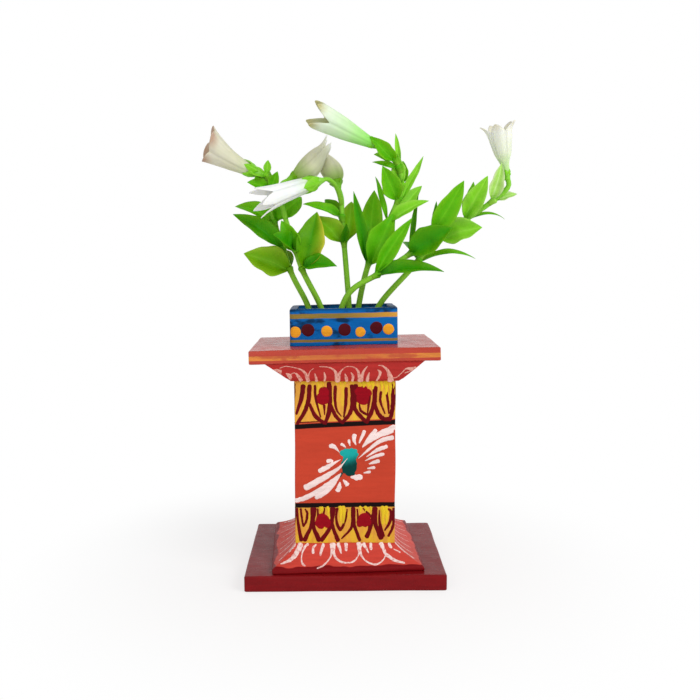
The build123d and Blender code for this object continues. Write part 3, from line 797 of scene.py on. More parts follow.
# White lotus arches on the capital: thin over their tops, which the brush sometimes missed, and heavy
# at their feet.
ARCHES = [
    [(-23.9, 82.7, 0.3), (-21.4, 83.4, 0.4), (-17.8, 82.5, 0.5), (-15.8, 81.5, 0.8), (-14.6, 79.9, 1.2),
     (-13.9, 77.0, 1.6)],
    [(-23.5, 81.8, 0.5), (-23.9, 80.6, 1.1), (-24.4, 80.1, 0.7)],
    [(-21.7, 80.3, 0.5), (-20.6, 79.3, 1.8), (-20.3, 78.0, 1.2)],
    [(-20.4, 79.6, 0.5), (-19.0, 80.5, 0.4), (-18.0, 80.0, 0.4)],
    [(-18.1, 80.2, 0.6), (-17.3, 78.8, 1.3), (-16.5, 77.2, 1.5)],
    [(-13.9, 77.1, 1.0), (-13.6, 79.4, 0.5), (-12.9, 81.2, 0.3), (-11.7, 82.3, 0.25)],
    [(-9.5, 83.0, 0.35), (-6.9, 82.8, 0.4), (-4.9, 82.0, 0.7), (-3.6, 80.3, 1.2), (-3.0, 77.0, 2.1)],
    [(-11.3, 80.1, 0.3), (-11.0, 78.6, 0.9), (-10.8, 77.0, 1.2)],
    [(-7.9, 80.6, 0.4), (-7.6, 78.8, 0.9), (-7.8, 77.0, 0.7)],
    [(-2.7, 77.0, 1.6), (-2.3, 79.9, 1.0), (-1.2, 81.6, 0.5), (0.2, 82.8, 0.4), (2.0, 82.9, 0.4),
     (3.6, 82.3, 0.6), (4.8, 80.7, 1.0), (5.5, 77.1, 1.8)],
    [(-0.2, 79.9, 0.4), (0.2, 78.3, 1.1), (0.4, 77.0, 1.2)],
    [(2.0, 80.5, 0.3), (2.8, 79.0, 1.0), (2.6, 77.0, 1.0)],
    [(5.8, 77.1, 1.7), (6.3, 79.4, 1.2), (7.1, 81.4, 0.8), (8.2, 82.9, 0.3)],
    [(12.3, 83.2, 0.3), (13.9, 82.8, 0.6), (15.6, 81.2, 1.1), (16.6, 79.0, 1.8), (17.0, 77.1, 2.4)],
    [(9.0, 80.5, 0.3), (8.5, 78.8, 1.0), (8.2, 77.0, 1.4)],
    [(12.1, 81.4, 0.4), (13.0, 80.3, 1.1), (12.5, 78.3, 1.0), (11.7, 77.0, 0.6)],
    [(17.4, 77.9, 0.5), (19.2, 78.3, 0.4), (21.0, 80.1, 0.4), (22.4, 81.6, 0.6), (24.0, 81.6, 1.2),
     (26.0, 82.0, 0.8)],
]

# The plinth's lotus: loops that hang from the column's foot, heavy there and thin below.
PLINTH_LOTUS = [
    [(-17.0, 13.9, 2.0), (-17.8, 12.6, 1.9), (-19.2, 11.1, 1.5), (-20.9, 10.0, 1.0), (-22.9, 9.4, 0.6),
     (-25.0, 9.0, 0.3)],
    [(-14.3, 14.0, 0.9), (-15.6, 13.1, 0.9), (-16.7, 11.4, 0.5), (-17.1, 10.0, 0.5), (-16.9, 9.0, 0.7),
     (-15.9, 8.5, 0.3)],
    [(-19.2, 13.9, 1.1), (-20.6, 12.8, 1.4), (-22.2, 11.7, 0.7)],
    [(-11.3, 13.8, 0.5), (-12.5, 12.8, 0.9), (-12.7, 11.5, 1.1)],
    [(-8.5, 13.8, 1.2), (-9.2, 12.6, 1.1), (-10.0, 10.9, 0.8)],
    [(-5.5, 13.8, 1.5), (-5.6, 11.7, 1.0), (-6.2, 10.4, 0.5), (-7.6, 9.3, 0.4), (-9.4, 8.4, 0.4),
     (-11.6, 7.9, 0.25)],
    [(-4.7, 13.8, 1.9), (-4.9, 11.7, 1.3), (-4.4, 10.3, 0.9), (-3.0, 9.4, 0.6), (-1.2, 9.0, 0.4),
     (0.6, 9.0, 0.2)],
    [(-2.8, 13.8, 1.7), (-2.4, 12.6, 1.2), (-2.0, 11.2, 0.5)],
    [(0.2, 13.8, 1.5), (0.0, 12.0, 1.0)],
    [(0.4, 8.9, 0.2), (1.8, 9.1, 0.4), (3.3, 9.7, 0.4), (4.6, 10.8, 0.5), (5.1, 12.0, 1.4),
     (5.3, 13.8, 2.3)],
    [(5.3, 11.9, 1.3), (5.7, 10.5, 0.8), (6.5, 9.6, 0.5), (7.9, 8.9, 0.45), (10.2, 8.5, 0.45),
     (12.1, 8.9, 0.35), (13.6, 9.6, 0.35), (14.5, 10.4, 0.4)],
    [(7.0, 13.8, 1.6), (7.8, 12.6, 1.0), (8.5, 11.3, 0.4)],
    [(9.8, 13.9, 1.3), (9.6, 12.3, 1.0)],
    [(13.7, 14.0, 1.8), (14.3, 12.6, 1.4), (14.9, 11.0, 1.2), (16.5, 10.0, 1.1), (18.4, 9.2, 0.8),
     (21.3, 8.7, 0.4)],
    [(16.7, 14.0, 1.2), (17.1, 13.2, 1.3), (17.5, 12.8, 0.8)],
    [(18.2, 12.3, 0.3), (20.4, 11.4, 0.5)],
    [(19.4, 14.0, 0.5), (21.2, 13.0, 0.5), (23.4, 11.0, 0.5)],
    [(20.2, 13.9, 0.5), (22.4, 13.1, 0.4), (24.5, 11.4, 0.4), (26.4, 9.4, 0.4)],
]

# The dots on the trough, as (across, up from its foot, radius), by colour.
YELLOW_DOTS = [(-18.4, 5.5, 2.15), (-6.6, 5.6, 2.1), (6.2, 4.9, 1.95), (16.9, 5.8, 2.1)]
MAROON_DOTS = [(-13.6, 6.2, 2.4), (0.2, 6.0, 2.45), (12.3, 6.4, 2.4)]

# The rows of petals on the column's other sides, as the heights of their tops and points, and each petal
# from its left arm to its right arm.
PLAIN_ROWS = ((75.6, 61.4), (28.0, 15.6))
PLAIN_PETALS = 5
PLAIN_SPACING = 7.5
PLAIN_LEFT = -18.2
PLAIN_WIDTH = 6.6
PLAIN_POINT = 3.8            # from a petal's left arm to its point


def plain_petal(left, top, point):
    """The arms of one petal, the two strokes inside it, and the spot for a blob."""
    def at(share, depth, width):
        return left + share * PLAIN_WIDTH, top - depth * (top - point), width

    end = (left + PLAIN_POINT, point)
    return [
        [at(0.02, 0, 1.4), at(0.0, 0.3, 1.5), at(0.12, 0.7, 1.5), (*end, 1.7)],
        [at(1.0, 0, 1.6), at(1.0, 0.3, 1.5), at(0.86, 0.7, 1.4), (*end, 1.6)],
        [at(0.28, 0, 1.2), at(0.3, 0.3, 1.1), at(0.42, 0.65, 0.9), at(0.5, 0.8, 0.6)],
        [at(0.76, 0.05, 1.2), at(0.72, 0.35, 1.0), at(0.64, 0.62, 0.6)],
    ], at(0.52, 0.4, 2.6)


def plain_row(place, top, point):
    """The oxblood strokes of a row of petals, and the cherry blobs in every other one."""
    strokes, blobs = [], []
    for index in range(PLAIN_PETALS):
        lines, spot = plain_petal(PLAIN_LEFT + PLAIN_SPACING * index, top, point)
        strokes += [brush_stroke(place, line) for line in lines]
        if index % 2:
            blobs.append(dab(place, *spot, LOWER_BLOB_RISE))
    return strokes, blobs


def drips(place, row, top):
    """The yellow at the top of a row of petals, laid on in three thicknesses so that none coincide."""
    forms = []
    for index, (across, length, width) in enumerate(row):
        points = [(across, top - 0.2, width), (across + 0.3, top - 0.5 * length, width * 0.8),
                  (across + 0.1, top - length, width * 0.4)]
        forms.append(brush_stroke(place, points, PAINT_RISE * (1.8 + 0.1 * (index % 3))))
    return forms


SIDE_LINES = 8               # on each side of the plinth
SIDE_LEFT = -16.5            # where the first one starts below the column
SIDE_SPACING = 4.7


def plinth_side_strokes(place):
    """Thin light lines that run down the plinth's side, fanned out from the column."""
    forms = []
    for step in range(SIDE_LINES):
        across = SIDE_LEFT + SIDE_SPACING * step
        fan = 1.36 + 0.05 * (step % 3)
        middle = across * (1 + fan) / 2 - 0.7
        forms.append(brush_stroke(place, [
            (across, 13.6, 0.4), (middle, 11.2, 0.32), (across * fan - 0.4, 9.1, 0.22)]))
    return forms


def build_stand():
    """The stand's six blocks, their painted ornaments and the nails within."""
    def block(name, form, paint, slot, node):
        add_piece(name, [form], paint, "stand", slot, [node])

    block("base_board", board(BASE, BOARD_CORNER, WORN_EDGE, BOX_MARGIN),
          painted("base_paint", MAROON, ALONG_X, roughness=0.3, specular=0.12), "maroon_paint",
          "base_plate")
    block("plinth_block", flared_form(PLINTH, plinth_halves, EDGE_STEPS + 1, FLARED_CORNER, 10, turned_plinth),
          plinth_paint(), "coral_paint", "plinth")
    block("column_block", board(COLUMN, COLUMN_CORNER, COLUMN_EDGE), column_paint(), "terracotta_paint",
          "column")
    block("capital_block", flared_form(CAPITAL, capital_halves, 3, CAPITAL_FOOT_RISE, 7, hand_made),
          painted("capital_paint", CAPITAL_RED, ALONG_X), "salmon_paint", "capital")
    block("slab_board", board(SLAB, BOARD_CORNER, SLAB_EDGE), slab_paint(), "salmon_paint", "top_slab")
    block("trough_block", trough_form(), trough_paint(), "blue_paint", "trough")

    front = COLUMN_SIDES[0]
    upper = [[(x, z, UPPER_BOLD * width) for x, z, width in points] for points in UPPER_PETALS]
    strokes = [brush_stroke(front, points) for points in upper + LOWER_PETALS]
    blobs = [dab(front, *blob, UPPER_BLOB_RISE) for blob in UPPER_BLOBS]
    blobs += [dab(front, *blob, LOWER_BLOB_RISE) for blob in LOWER_BLOBS]
    for place in COLUMN_SIDES[1:]:
        for row in PLAIN_ROWS:
            more_strokes, more_blobs = plain_row(place, *row)
            strokes += more_strokes
            blobs += more_blobs
    yellow = []
    for place in COLUMN_SIDES:
        yellow += drips(place, UPPER_DRIPS, UPPER_DRIP_TOP) + drips(place, LOWER_DRIPS, LOWER_DRIP_TOP)
    spray = [brush_stroke(front, moved(points, SPRAY_MIDDLE)) for points in SPRAY]
    heart = [dab(front, *spot, HEART_RISE) for spot in moved(HEART_DABS, SPRAY_MIDDLE)]
    heart.append(brush_stroke(front, moved(HEART_TAIL, SPRAY_MIDDLE)))
    arches = [brush_stroke(place, points) for place in CAPITAL_SIDES for points in ARCHES]
    lotus = [brush_stroke(place, points, THIN_RISE) for place in PLINTH_SIDES[::2]
             for points in PLINTH_LOTUS]
    lotus += [form for place in PLINTH_SIDES[1::2] for form in plinth_side_strokes(place)]

    def ornament(name, forms, paint, slot):
        add_piece(name, forms, paint, "stand", slot)

    def dots(spots):
        return [dab(place, across, TROUGH.low + up, radius, uneven=DOT_UNEVEN)
                for place in TROUGH_SIDES[::2] for across, up, radius in spots]

    ornament("column_petals", strokes, painted("oxblood_strokes", OXBLOOD, ALONG_Z), "maroon_paint")
    ornament("column_blobs", blobs, painted("cherry_blobs", CHERRY, ALONG_X), "maroon_paint")
    ornament("column_drips", yellow, painted("lemon_drips", LEMON, ALONG_Z), "terracotta_paint")
    ornament("column_spray", spray, painted("white_strokes", PINK_WHITE, ALONG_X, 0.5), "terracotta_paint")
    ornament("column_spray_heart", heart, teal_paint(), "blue_paint")
    ornament("capital_arches", arches, thin_paint("pink_strokes", ARCH_PINK, CAPITAL_RED), "salmon_paint")
    ornament("plinth_lotus", lotus, thin_paint("thin_white_strokes", PINK_WHITE, CORAL), "coral_paint")
    for name, spots, colour in (("yellow", YELLOW_DOTS, DOT_YELLOW), ("maroon", MAROON_DOTS, DOT_MAROON)):
        ornament("trough_dots_" + name, dots(spots), painted("dot_" + name, colour, ALONG_X), "blue_paint")
    wire = nail_material()
    for node in ("base_nails", "top_nails", "trough_brads"):
        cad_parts[node].data.materials.clear()
        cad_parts[node].data.materials.append(wire)


# ---------------- the plant ----------------
# A leaf's colours at its midrib, on its blade and at its edge; bias is how much less the last one shows
# on the leaf's left half.
Tone = namedtuple("Tone", "heart blade edge bias", defaults=(0,))
DEEP = Tone(rgb(44, 140, 2), rgb(50, 140, 2), rgb(78, 156, 10))
FRESH = Tone(rgb(104, 188, 24), rgb(80, 172, 4), rgb(108, 184, 22))
BRIGHT = Tone(rgb(148, 220, 66), rgb(122, 204, 32), rgb(150, 216, 64))
OLIVE = Tone(rgb(116, 184, 34), rgb(100, 166, 4), rgb(150, 190, 40), 0.4)
RIPE = Tone(rgb(52, 134, 2), rgb(84, 150, 2), rgb(196, 190, 48), 1)
SHADY = Tone(rgb(38, 116, 4), rgb(48, 126, 4), rgb(70, 140, 10))
PALE = Tone(rgb(196, 236, 148), rgb(160, 218, 84), rgb(212, 228, 170))
STEM_LOW = rgb(126, 176, 46)
STEM_HIGH = rgb(134, 204, 58)

# A leaf's reach runs from its root to its tip. Facing is how far its upper side is turned to the front,
# in degrees, arch how far it bows up, as a share of its length, and fold how many degrees its halves rise.
Leaf = namedtuple("Leaf", "reach width facing tone arch fold", defaults=(FRESH, 0.06, 22))
Whorl = namedtuple("Whorl", "place leaves")
Sprig = namedtuple("Sprig", "route whorls flower")

# A flower's profile runs from its foot to its mouth, as (share of its length, radius). Bend is how far
# its mouth is drawn aside. Its lobes are cut down by a share of its length, and curl outwards;
# pointed is 0 for round ones and 1 for sharp ones.
Flower = namedtuple("Flower", "length profile bend lobes cut curl flat roll tints sepals pointed",
                    defaults=(1,))
Sepals = namedtuple("Sepals", "length width spread tone", defaults=(BRIGHT,))

# A flower's tints: at its foot, along its tube, at its mouth, and on its petals' points.
# White petals darkened to beige as painted shade; their points are brown-pink.
SHADED_BEIGE = (rgb(206, 226, 172), rgb(214, 212, 180), rgb(222, 218, 196), rgb(186, 156, 138))
GREEN_WHITE = (rgb(136, 226, 86), rgb(186, 234, 158), rgb(228, 240, 216), rgb(186, 180, 130))
SNOW = (rgb(196, 230, 160), rgb(242, 246, 242), rgb(250, 250, 248), rgb(246, 244, 240))
CREAM = (rgb(176, 226, 128), rgb(228, 236, 204), rgb(242, 242, 230), rgb(222, 216, 196))
# White petals darkened to grey as painted shade.
SHADED_GREY_WHITE = (rgb(136, 176, 62), rgb(214, 212, 176), rgb(224, 220, 196), rgb(240, 238, 230))

# The sprigs, with their routes from the foam up, their whorls at shares of the route, and their flowers.
SPRIGS = {
    "1": Sprig([(-12, 1, 0), (-14.6, 1.2, 10), (-20.5, 3, 21.5), (-24.5, 5, 33), (-28, 6, 44),
                (-29.4, 6.2, 53), (-30.2, 6, 59.6), (-33.9, 5.1, 61.2)], [
        Whorl(0.39, [Leaf((-16.6, -4, 6.6), 13, 72, OLIVE, 0.06), Leaf((-9, 12, 9), 9.5, 15, DEEP)]),
        Whorl(0.52, [Leaf((-17.6, -4, 14), 10, 50, DEEP, 0.08), Leaf((4, 11, 7), 8, 10, DEEP)]),
        Whorl(0.68, [Leaf((-15, 4, 8), 7.5, 50, FRESH, 0.12), Leaf((9.5, 4, 10.5), 12, 62, FRESH)]),
        Whorl(0.88, [Leaf((-7, -4, 2.4), 5.6, 65, FRESH), Leaf((2.6, -1, 6.5), 4.6, 95, FRESH),
                     Leaf((-1, 4, 9), 4.6, 90, BRIGHT)]),
        Whorl(0.955, [Leaf((-8.4, -3.2, 3.2), 4.6, 55, BRIGHT, 0.05), Leaf((0.4, 1, 5.6), 3.4, 90, BRIGHT),
                      Leaf((-4, -3.4, -0.6), 3.6, 40, FRESH)]),
    ], Flower(20.6, [(0, 1.5), (0.16, 2.5), (0.36, 3.3), (0.6, 4.5), (0.85, 6.2), (1, 6.9)], (0, 0, 4),
                     4, 0.1,
              0.3, 0.95, 0.5, SHADED_BEIGE, Sepals(6.2, 4.0, 0.05), 0)),
    "2": Sprig([(-6.8, -1.5, 0), (-9.6, -1.5, 10), (-15.8, -4, 22.5), (-19, -2, 31.5), (-22.4, 2, 41.5),
                (-24.7, 3.5, 51), (-24.5, 4, 56.6), (-20.5, 4.8, 58.9)], [
        Whorl(0.40, [Leaf((5, 3, 22), 12, 90, RIPE, 0.05, 20), Leaf((12, -6, 2), 8.5, 50, DEEP, 0.12)]),
        Whorl(0.52, [Leaf((-7, -9, 6), 10, 55, DEEP), Leaf((-5, -3, 11), 8, 75, FRESH), Leaf((7, 5, 9),
                     8, 70, FRESH)]),
        Whorl(0.86, [Leaf((-3, 3, 8), 3.4, 75, PALE), Leaf((2.5, 3, 7.5), 3.4, 75, FRESH)]),
    ], Flower(19.6, [(0, 1.4), (0.12, 3.0), (0.28, 4.4), (0.45, 4.8), (0.62, 4.2), (0.78, 2.9), (1, 2.4)],
              (-2.4, 0, 6.4), 4, 0.2, 0.2, 1.0, 0.4, SHADED_GREY_WHITE, Sepals(1.8, 1.8, 0, OLIVE))),
    "3": Sprig([(2.2, 1.5, 0), (1.7, 1.8, 12), (0.8, 3.5, 24), (-0.2, 4.2, 36), (-0.9, 5, 45),
                (-1, 7, 51.5), (-2.6, 9.2, 57)], [
        Whorl(0.60, [Leaf((-10.5, -1, 10.5), 9.5, 60, OLIVE, 0.08), Leaf((3, 8, 17), 9, 90, OLIVE),
                     Leaf((0.5, -4.5, 7), 4, 100, SHADY)]),
        Whorl(0.77, [Leaf((-14, -3, 5.5), 6, 45, FRESH), Leaf((-6, 6, 8), 6, 60, DEEP)]),
    ], Flower(16.0, [(0, 1.3), (0.18, 3.6), (0.4, 4.4), (0.6, 3.8), (0.82, 2.4), (1, 1.8)], (-3.4, 0, 0),
              4, 0.15, 0.2, 1.0, 0.2, SHADED_GREY_WHITE, Sepals(1.8, 1.8, 0, OLIVE))),
    "4": Sprig([(5.2, 2.5, 0), (5.8, 2, 10), (9.9, 1, 27), (17.5, 1.5, 42.5), (21.6, 2, 52.5),
                (22.2, 1.5, 59.6), (19.8, 0.4, 65.8), (16, -0.8, 69.4), (11.6, -2.1, 71.4)], [
        Whorl(0.34, [Leaf((-5.2, -5, 27), 5, 60, DEEP, 0.03), Leaf((3.3, 9, 29), 11, 90, FRESH, 0.03),
                     Leaf((9, -2, 19.5), 11, 75, FRESH, 0.1)]),
        Whorl(0.56, [Leaf((13.5, 7, 15.5), 7, 70, BRIGHT), Leaf((14, -4, 9), 6.5, 50, BRIGHT, 0.1),
                     Leaf((-4, 5, 18.5), 2.6, 60, FRESH, 0.12)]),
        Whorl(0.68, [Leaf((-5.5, -5, 12), 8.5, 90, FRESH, 0.04), Leaf((9.2, 2, 17),
                     3.6, 70, BRIGHT, -0.06)]),
        Whorl(0.75, [Leaf((-1, -1.5, 12), 6, 80, BRIGHT, -0.06), Leaf((1, 3, 10), 4.5, 80, FRESH)]),
        Whorl(0.835, [Leaf((-9.5, -2, 2.5), 3, 60, FRESH), Leaf((-1.5, 5, 14), 2.4, 60, BRIGHT)]),
        Whorl(0.88, [Leaf((-9.4, -5, 8.4), 6.2, 80, FRESH, 0.04), Leaf((-7.4, -1, 2.5), 5, 60, BRIGHT)]),
    ], Flower(27.2, [(0, 1.8), (0.23, 2.9), (0.47, 4.1), (0.75, 5.0), (1, 5.3)], (0, 0, 0.4), 4, 0.21,
              0.2, 1.0, 0.35, GREEN_WHITE, Sepals(2.6, 2.4, 0))),
    "5": Sprig([(-1.8, -5, 0), (-1.1, -5.5, 9), (3.5, -6, 16.5), (14.6, -6, 22.9), (26.2, -5, 30.4),
                (36.5, -3, 38.1)], [
        Whorl(0.50, [Leaf((13.4, -1, 21), 6.8, 75, FRESH, 0.03), Leaf((24.5, -5, 3.5), 8, 45, DEEP, 0.1)]),
        Whorl(0.77, [Leaf((14.5, -6, 9.5), 12, 65, DEEP, 0.05), Leaf((4, 6, 22), 2.4, 60, SHADY, -0.08)]),
        Whorl(0.97, [Leaf((2, 4, 13), 2.5, 70, DEEP), Leaf((11.5, -2, 20), 9, 85, FRESH, 0.05)]),
    ], None),
    "6": Sprig([(11.2, 2, 0), (14, 2.5, 9.8), (25.8, 4.5, 23), (36.5, 5.5, 34.3), (47, 5, 42.4),
                (57, 3, 49.4), (63.9, 1.4, 55.5), (63.3, 0.9, 60)], [
        Whorl(0.41, [Leaf((23, 4, 3.5), 3.4, 40, FRESH, 0.12), Leaf((-4, 11, 8), 8, 0, DEEP)]),
        Whorl(0.56, [Leaf((14.5, -6, 5), 12.5, 65, BRIGHT, 0.08), Leaf((2, 11, 8), 7.5, 0, FRESH)]),
        Whorl(0.71, [Leaf((7.5, -6, 15.5), 8.5, 80, BRIGHT, 0.04), Leaf((16, 4, 2.5), 2, 40, FRESH, 0.14),
                     Leaf((4, 6, 15), 4, 80, FRESH)]),
        Whorl(0.86, [Leaf((3, -5, 13), 6, 90, PALE, 0.06), Leaf((9.6, 2, 3.5), 5, 50, PALE, 0.05)]),
    ], Flower(20.6, [(0, 1.5), (0.2, 1.7), (0.4, 3.3), (0.7, 4.6), (1, 5.9)], (0, 0, 0), 5, 0.2,
              0.5, 1.0, 0.5, CREAM, Sepals(2.4, 2.0, 0))),
}
# The front flower's side shoot: the sprig that carries it, where on it, and the route from there.
SHOOT_CARRIER = "3"
SHOOT_PLACE = 0.84
SHOOT_ROUTE = [(-1.2, -1.4, 4.9), (-3.0, -4, 8.4), (-5.6, -6.6, 9.9), (-8.4, -7.8, 9.1)]
SHOOT_FLOWER = Flower(26.5, [(0, 1.2), (0.1, 2.6), (0.28, 3.5), (0.55, 4.2), (0.8, 5.2), (1, 6.3)],
                      (-0.6, 0, -1.6), 5, 0.24, 0.2, 0.9, 1.12, SNOW, Sepals(7.6, 5.8, 0.03))

ROOT_DEPTH = 3.6             # how far a stem is pushed into the foam
STEM_RADIUS = 1.1
SHOOT_RADIUS = 0.8
SHEATH_STEP = 0.4            # longest side of a mesh face on the sheath below a whorl and on a flower's cup
SHEATH_REACH = 2.6           # the sheath runs this far below its whorl
SHEATH_TOP = 0.25            # and this share of that above it
LEAF_ROOT = (0.95, 0.5)      # a leaf's root lies this far out from the stem's middle, and this far down
LEAF_THICKNESS = 0.3
LEAF_RINGS = 24
LEAF_ACROSS = 6              # mesh faces from a leaf's midrib to its edge
LEAF_UNEVEN = 0.16           # how far a leaf's edges stray, as a share of its half width
LEAF_RIPPLE = 0.2            # and its blade
LEAF_SWAY = 0.03             # how far its midrib strays, as a share of its length
PETAL_THICKNESS = 0.35
FLOWER_LIFT = 0.35           # a flower's foot lies this far beyond its stem's end
FLOWER_SIDES = 80
FLOWER_SHARES = (0.001, 0.02, 0.06, 0.12, 0.18, 0.24, 0.3, 0.36, 0.42, 0.48, 0.54, 0.6, 0.66, 0.72, 0.77,
                 0.82, 0.86, 0.9, 0.93, 0.96, 0.98, 1)
INSIDE_END = 3               # the ring at which a flower's hollow ends
LOBES_START = 0.7            # share of a flower's length from which its lobes curl
UNEVEN_CUTS = 0.4            # how much the cuts between its lobes differ
CREASE = 0.09                # how deep it is creased below them, as a share of its radius
DENTS = 0.06                 # and how uneven its tube is
CUP_REACH = 1.6              # a flower's green cup runs this far to both sides of the stem's end
CUP_ROOM = 0.1               # from the stem to the cup's foot
SEPALS = 5


class Line:
    """A smooth line through a route, measured along its length."""

    def __init__(self, route):
        self.points = smooth_line(route, 10)
        self.lengths = [0.0]
        for before, after in zip(self.points, self.points[1:]):
            self.lengths.append(self.lengths[-1] + (after - before).length)

    def at(self, share):
        """The point and the direction at a share of the length."""
        target = kept(share) * self.lengths[-1]
        index = 1
        while index < len(self.points) - 1 and self.lengths[index] < target:
            index += 1
        before, after = self.points[index - 1], self.points[index]
        part = (target - self.lengths[index - 1]) / (self.lengths[index] - self.lengths[index - 1])
        return before.lerp(after, part), (after - before).normalized()


def tube(line, radius_of, tint_of, sides=14, step=1.2, start=0.0, end=1.0):
    """A round form along part of a line, without twist, with a radius and a tint for each share of it."""
    count = max(ceil(line.lengths[-1] * (end - start) / step), 3)
    across = line.at(start)[1].orthogonal().normalized()
    rings, tints = [], []
    for index in range(count + 1):
        part = index / count
        middle, ahead = line.at(start + (end - start) * index / count)
        across = (across - ahead * ahead.dot(across)).normalized()
        other = ahead.cross(across)
        turns = [side / sides * 2 * pi for side in range(sides)]
        rings.append([middle + (across * cos(turn) + other * sin(turn)) * radius_of(part) for turn in turns])
        tints += [tint_of(part)] * sides
    return (*stacked(rings), tints)


def blade_width(share):
    """A leaf's width along its length: clasping at its root, full at its shoulder, sharp at its tip."""
    return max(sin(pi * share ** 0.66) ** 0.82, 0.2 * exp(-6 * share)) if share < 0.995 else 0.02


def blade(root, leaf_reach, width, upper, tone, arch, fold, seed):
    """A cupped leaf: bowed along its length, folded at its midrib and turned up at its edges."""
    reach = Vector(leaf_reach)
    length = reach.length
    along = reach.normalized()
    upper = (upper - along * along.dot(upper)).normalized()
    side = along.cross(upper)
    slope = tan(radians(fold))
    rings, tints, places = [], [], []
    for index in range(LEAF_RINGS + 1):
        share = (index / LEAF_RINGS) ** 1.15
        half = width / 2 * blade_width(share)
        uneven = [1 + LEAF_UNEVEN * noise.noise(Vector((share * 4.5, edge, seed))) for edge in (2, 9)]
        bow = arch * length * (4 * share * (1 - share) - 0.9 * share ** 3)
        sway = LEAF_SWAY * length * noise.noise(Vector((seed, share * 1.5, 3)))
        middle = root + along * (share * length) + upper * bow + side * sway
        cup = 1 + 2.2 * exp(-7 * share)
        top, under, ring_tints, ring_places = [], [], [], []
        for step in range(-LEAF_ACROSS, LEAF_ACROSS + 1):
            out = step / LEAF_ACROSS
            ripple = LEAF_RIPPLE * half * noise.noise(Vector((share * 3.4, out * 1.4, seed)))
            folded = half * slope * cup * (sqrt(out * out + 0.03) - 0.17)
            lift = folded + 0.12 * half * out ** 4 + ripple
            top.append(middle + side * (out * half * uneven[out > 0] / sqrt(cup)) + upper * lift)
            thick = LEAF_THICKNESS * (1 - 0.65 * abs(out)) * (1 - 0.6 * share)
            under.append(top[-1] - upper * thick)
            near_edge = abs(out) ** 2.5 * min(share * 3, 1) * (1 if out > 0 else 1 - tone.bias)
            tint = mixed(tone.heart, tone.blade, abs(out) * 3 + 0.4 * share)
            tint = mixed(tint, tone.edge, near_edge)
            # Darker near the leaf's root, where it clasps the stem: painted shade.
            ring_tints.append(mixed(tint, shaded(tint, 0.7), 0.5 - share * 2.5))
            ring_places.append((share * length, out * half))
        rings.append(top + under[::-1])
        tints += ring_tints + ring_tints[::-1]
        places += ring_places + ring_places[::-1]
    return (*stacked(rings), tints, places)


def facing_up(facing):
    """The way a leaf's upper side looks: 0 is up, and 90 is to the front."""
    return Vector((0, -sin(radians(facing)), cos(radians(facing))))


def whorl_forms(line, whorl, seed):
    """Leaves that clasp the stem, which swells a little below them."""
    centre, ahead = line.at(whorl.place)
    reach = SHEATH_REACH / line.lengths[-1]
    green = whorl.leaves[0].tone.blade
    out, down = LEAF_ROOT

    def sheath_radius(part):
        return STEM_RADIUS + 0.02 + 0.5 * min(part * 1.25, 1) ** 2 - 0.4 * max(part * 5 - 4, 0)

    forms = [tube(line, sheath_radius, lambda part: mixed(STEM_LOW, green, part), step=SHEATH_STEP,
                  start=whorl.place - reach, end=whorl.place + reach * SHEATH_TOP)]
    for index, leaf in enumerate(whorl.leaves):
        outward = Vector(leaf.reach)
        outward = (outward - ahead * outward.dot(ahead)).normalized()
        forms.append(blade(centre + outward * out - ahead * down, leaf.reach, leaf.width,
                           facing_up(leaf.facing), leaf.tone, leaf.arch, leaf.fold, seed + 1.7 * index))
    return forms


def profile_radius(profile, share):
    """The radius at a share of the length, on a smooth line through a profile's points."""
    index = 1
    while index < len(profile) - 1 and profile[index][0] < share:
        index += 1
    (start, near), (end, far) = profile[index - 1], profile[index]
    before = profile[max(index - 2, 0)]
    after = profile[min(index + 1, len(profile) - 1)]
    span = end - start
    rise_near = (far - before[1]) / (end - before[0]) * span
    rise_far = (after[1] - near) / (after[0] - start) * span
    t = (share - start) / span
    return ((2 * t ** 3 - 3 * t * t + 1) * near + (t ** 3 - 2 * t * t + t) * rise_near
            + (3 * t * t - 2 * t ** 3) * far + (t ** 3 - t * t) * rise_far)


def flower_tint(tints, part, lobe, streak):
    """A flower's tint at a share of its height, from between two lobes (0) to the middle of one (1)."""
    low, middle, mouth, point = tints
    tint = mixed(low, middle, part * 2.6 - 0.12)
    tint = mixed(tint, mouth, part * 2 - 0.7)
    tint = mixed(tint, point, (part - 0.8) * 7 * lobe ** 1.5)
    # Darker between the lobes, where the tube is creased: painted shade. The streaks are the petals' own fine
    # lines.
    shade = (1 - 0.12 * (1 - lobe) ** 3) * (1 + 0.07 * streak)
    return tuple(min(value, 1) for value in shaded(tint, shade))


def lining(outer, foot, axis):
    """The inside of a flower, as far in from its outside as its petals are thick."""
    def off_axis(point):
        return (point - foot - axis * axis.dot(point - foot)).length

    normals = []
    for index, ring in enumerate(outer):
        up = outer[min(index + 1, len(outer) - 1)]
        down = outer[max(index - 1, 0)]
        rounds = [ring[(step + 1) % FLOWER_SIDES] - ring[step - 1] for step in range(FLOWER_SIDES)]
        normals.append([(high - low).cross(round_way).normalized()
                        for high, low, round_way in zip(up, down, rounds)])
    tried, normal = outer[INSIDE_END][0], normals[INSIDE_END][0]
    way = -1 if off_axis(tried + normal * PETAL_THICKNESS) > off_axis(tried) else 1
    return [[point + normal * (way * PETAL_THICKNESS) for point, normal in zip(*rings)]
            for rings in zip(outer, normals)]


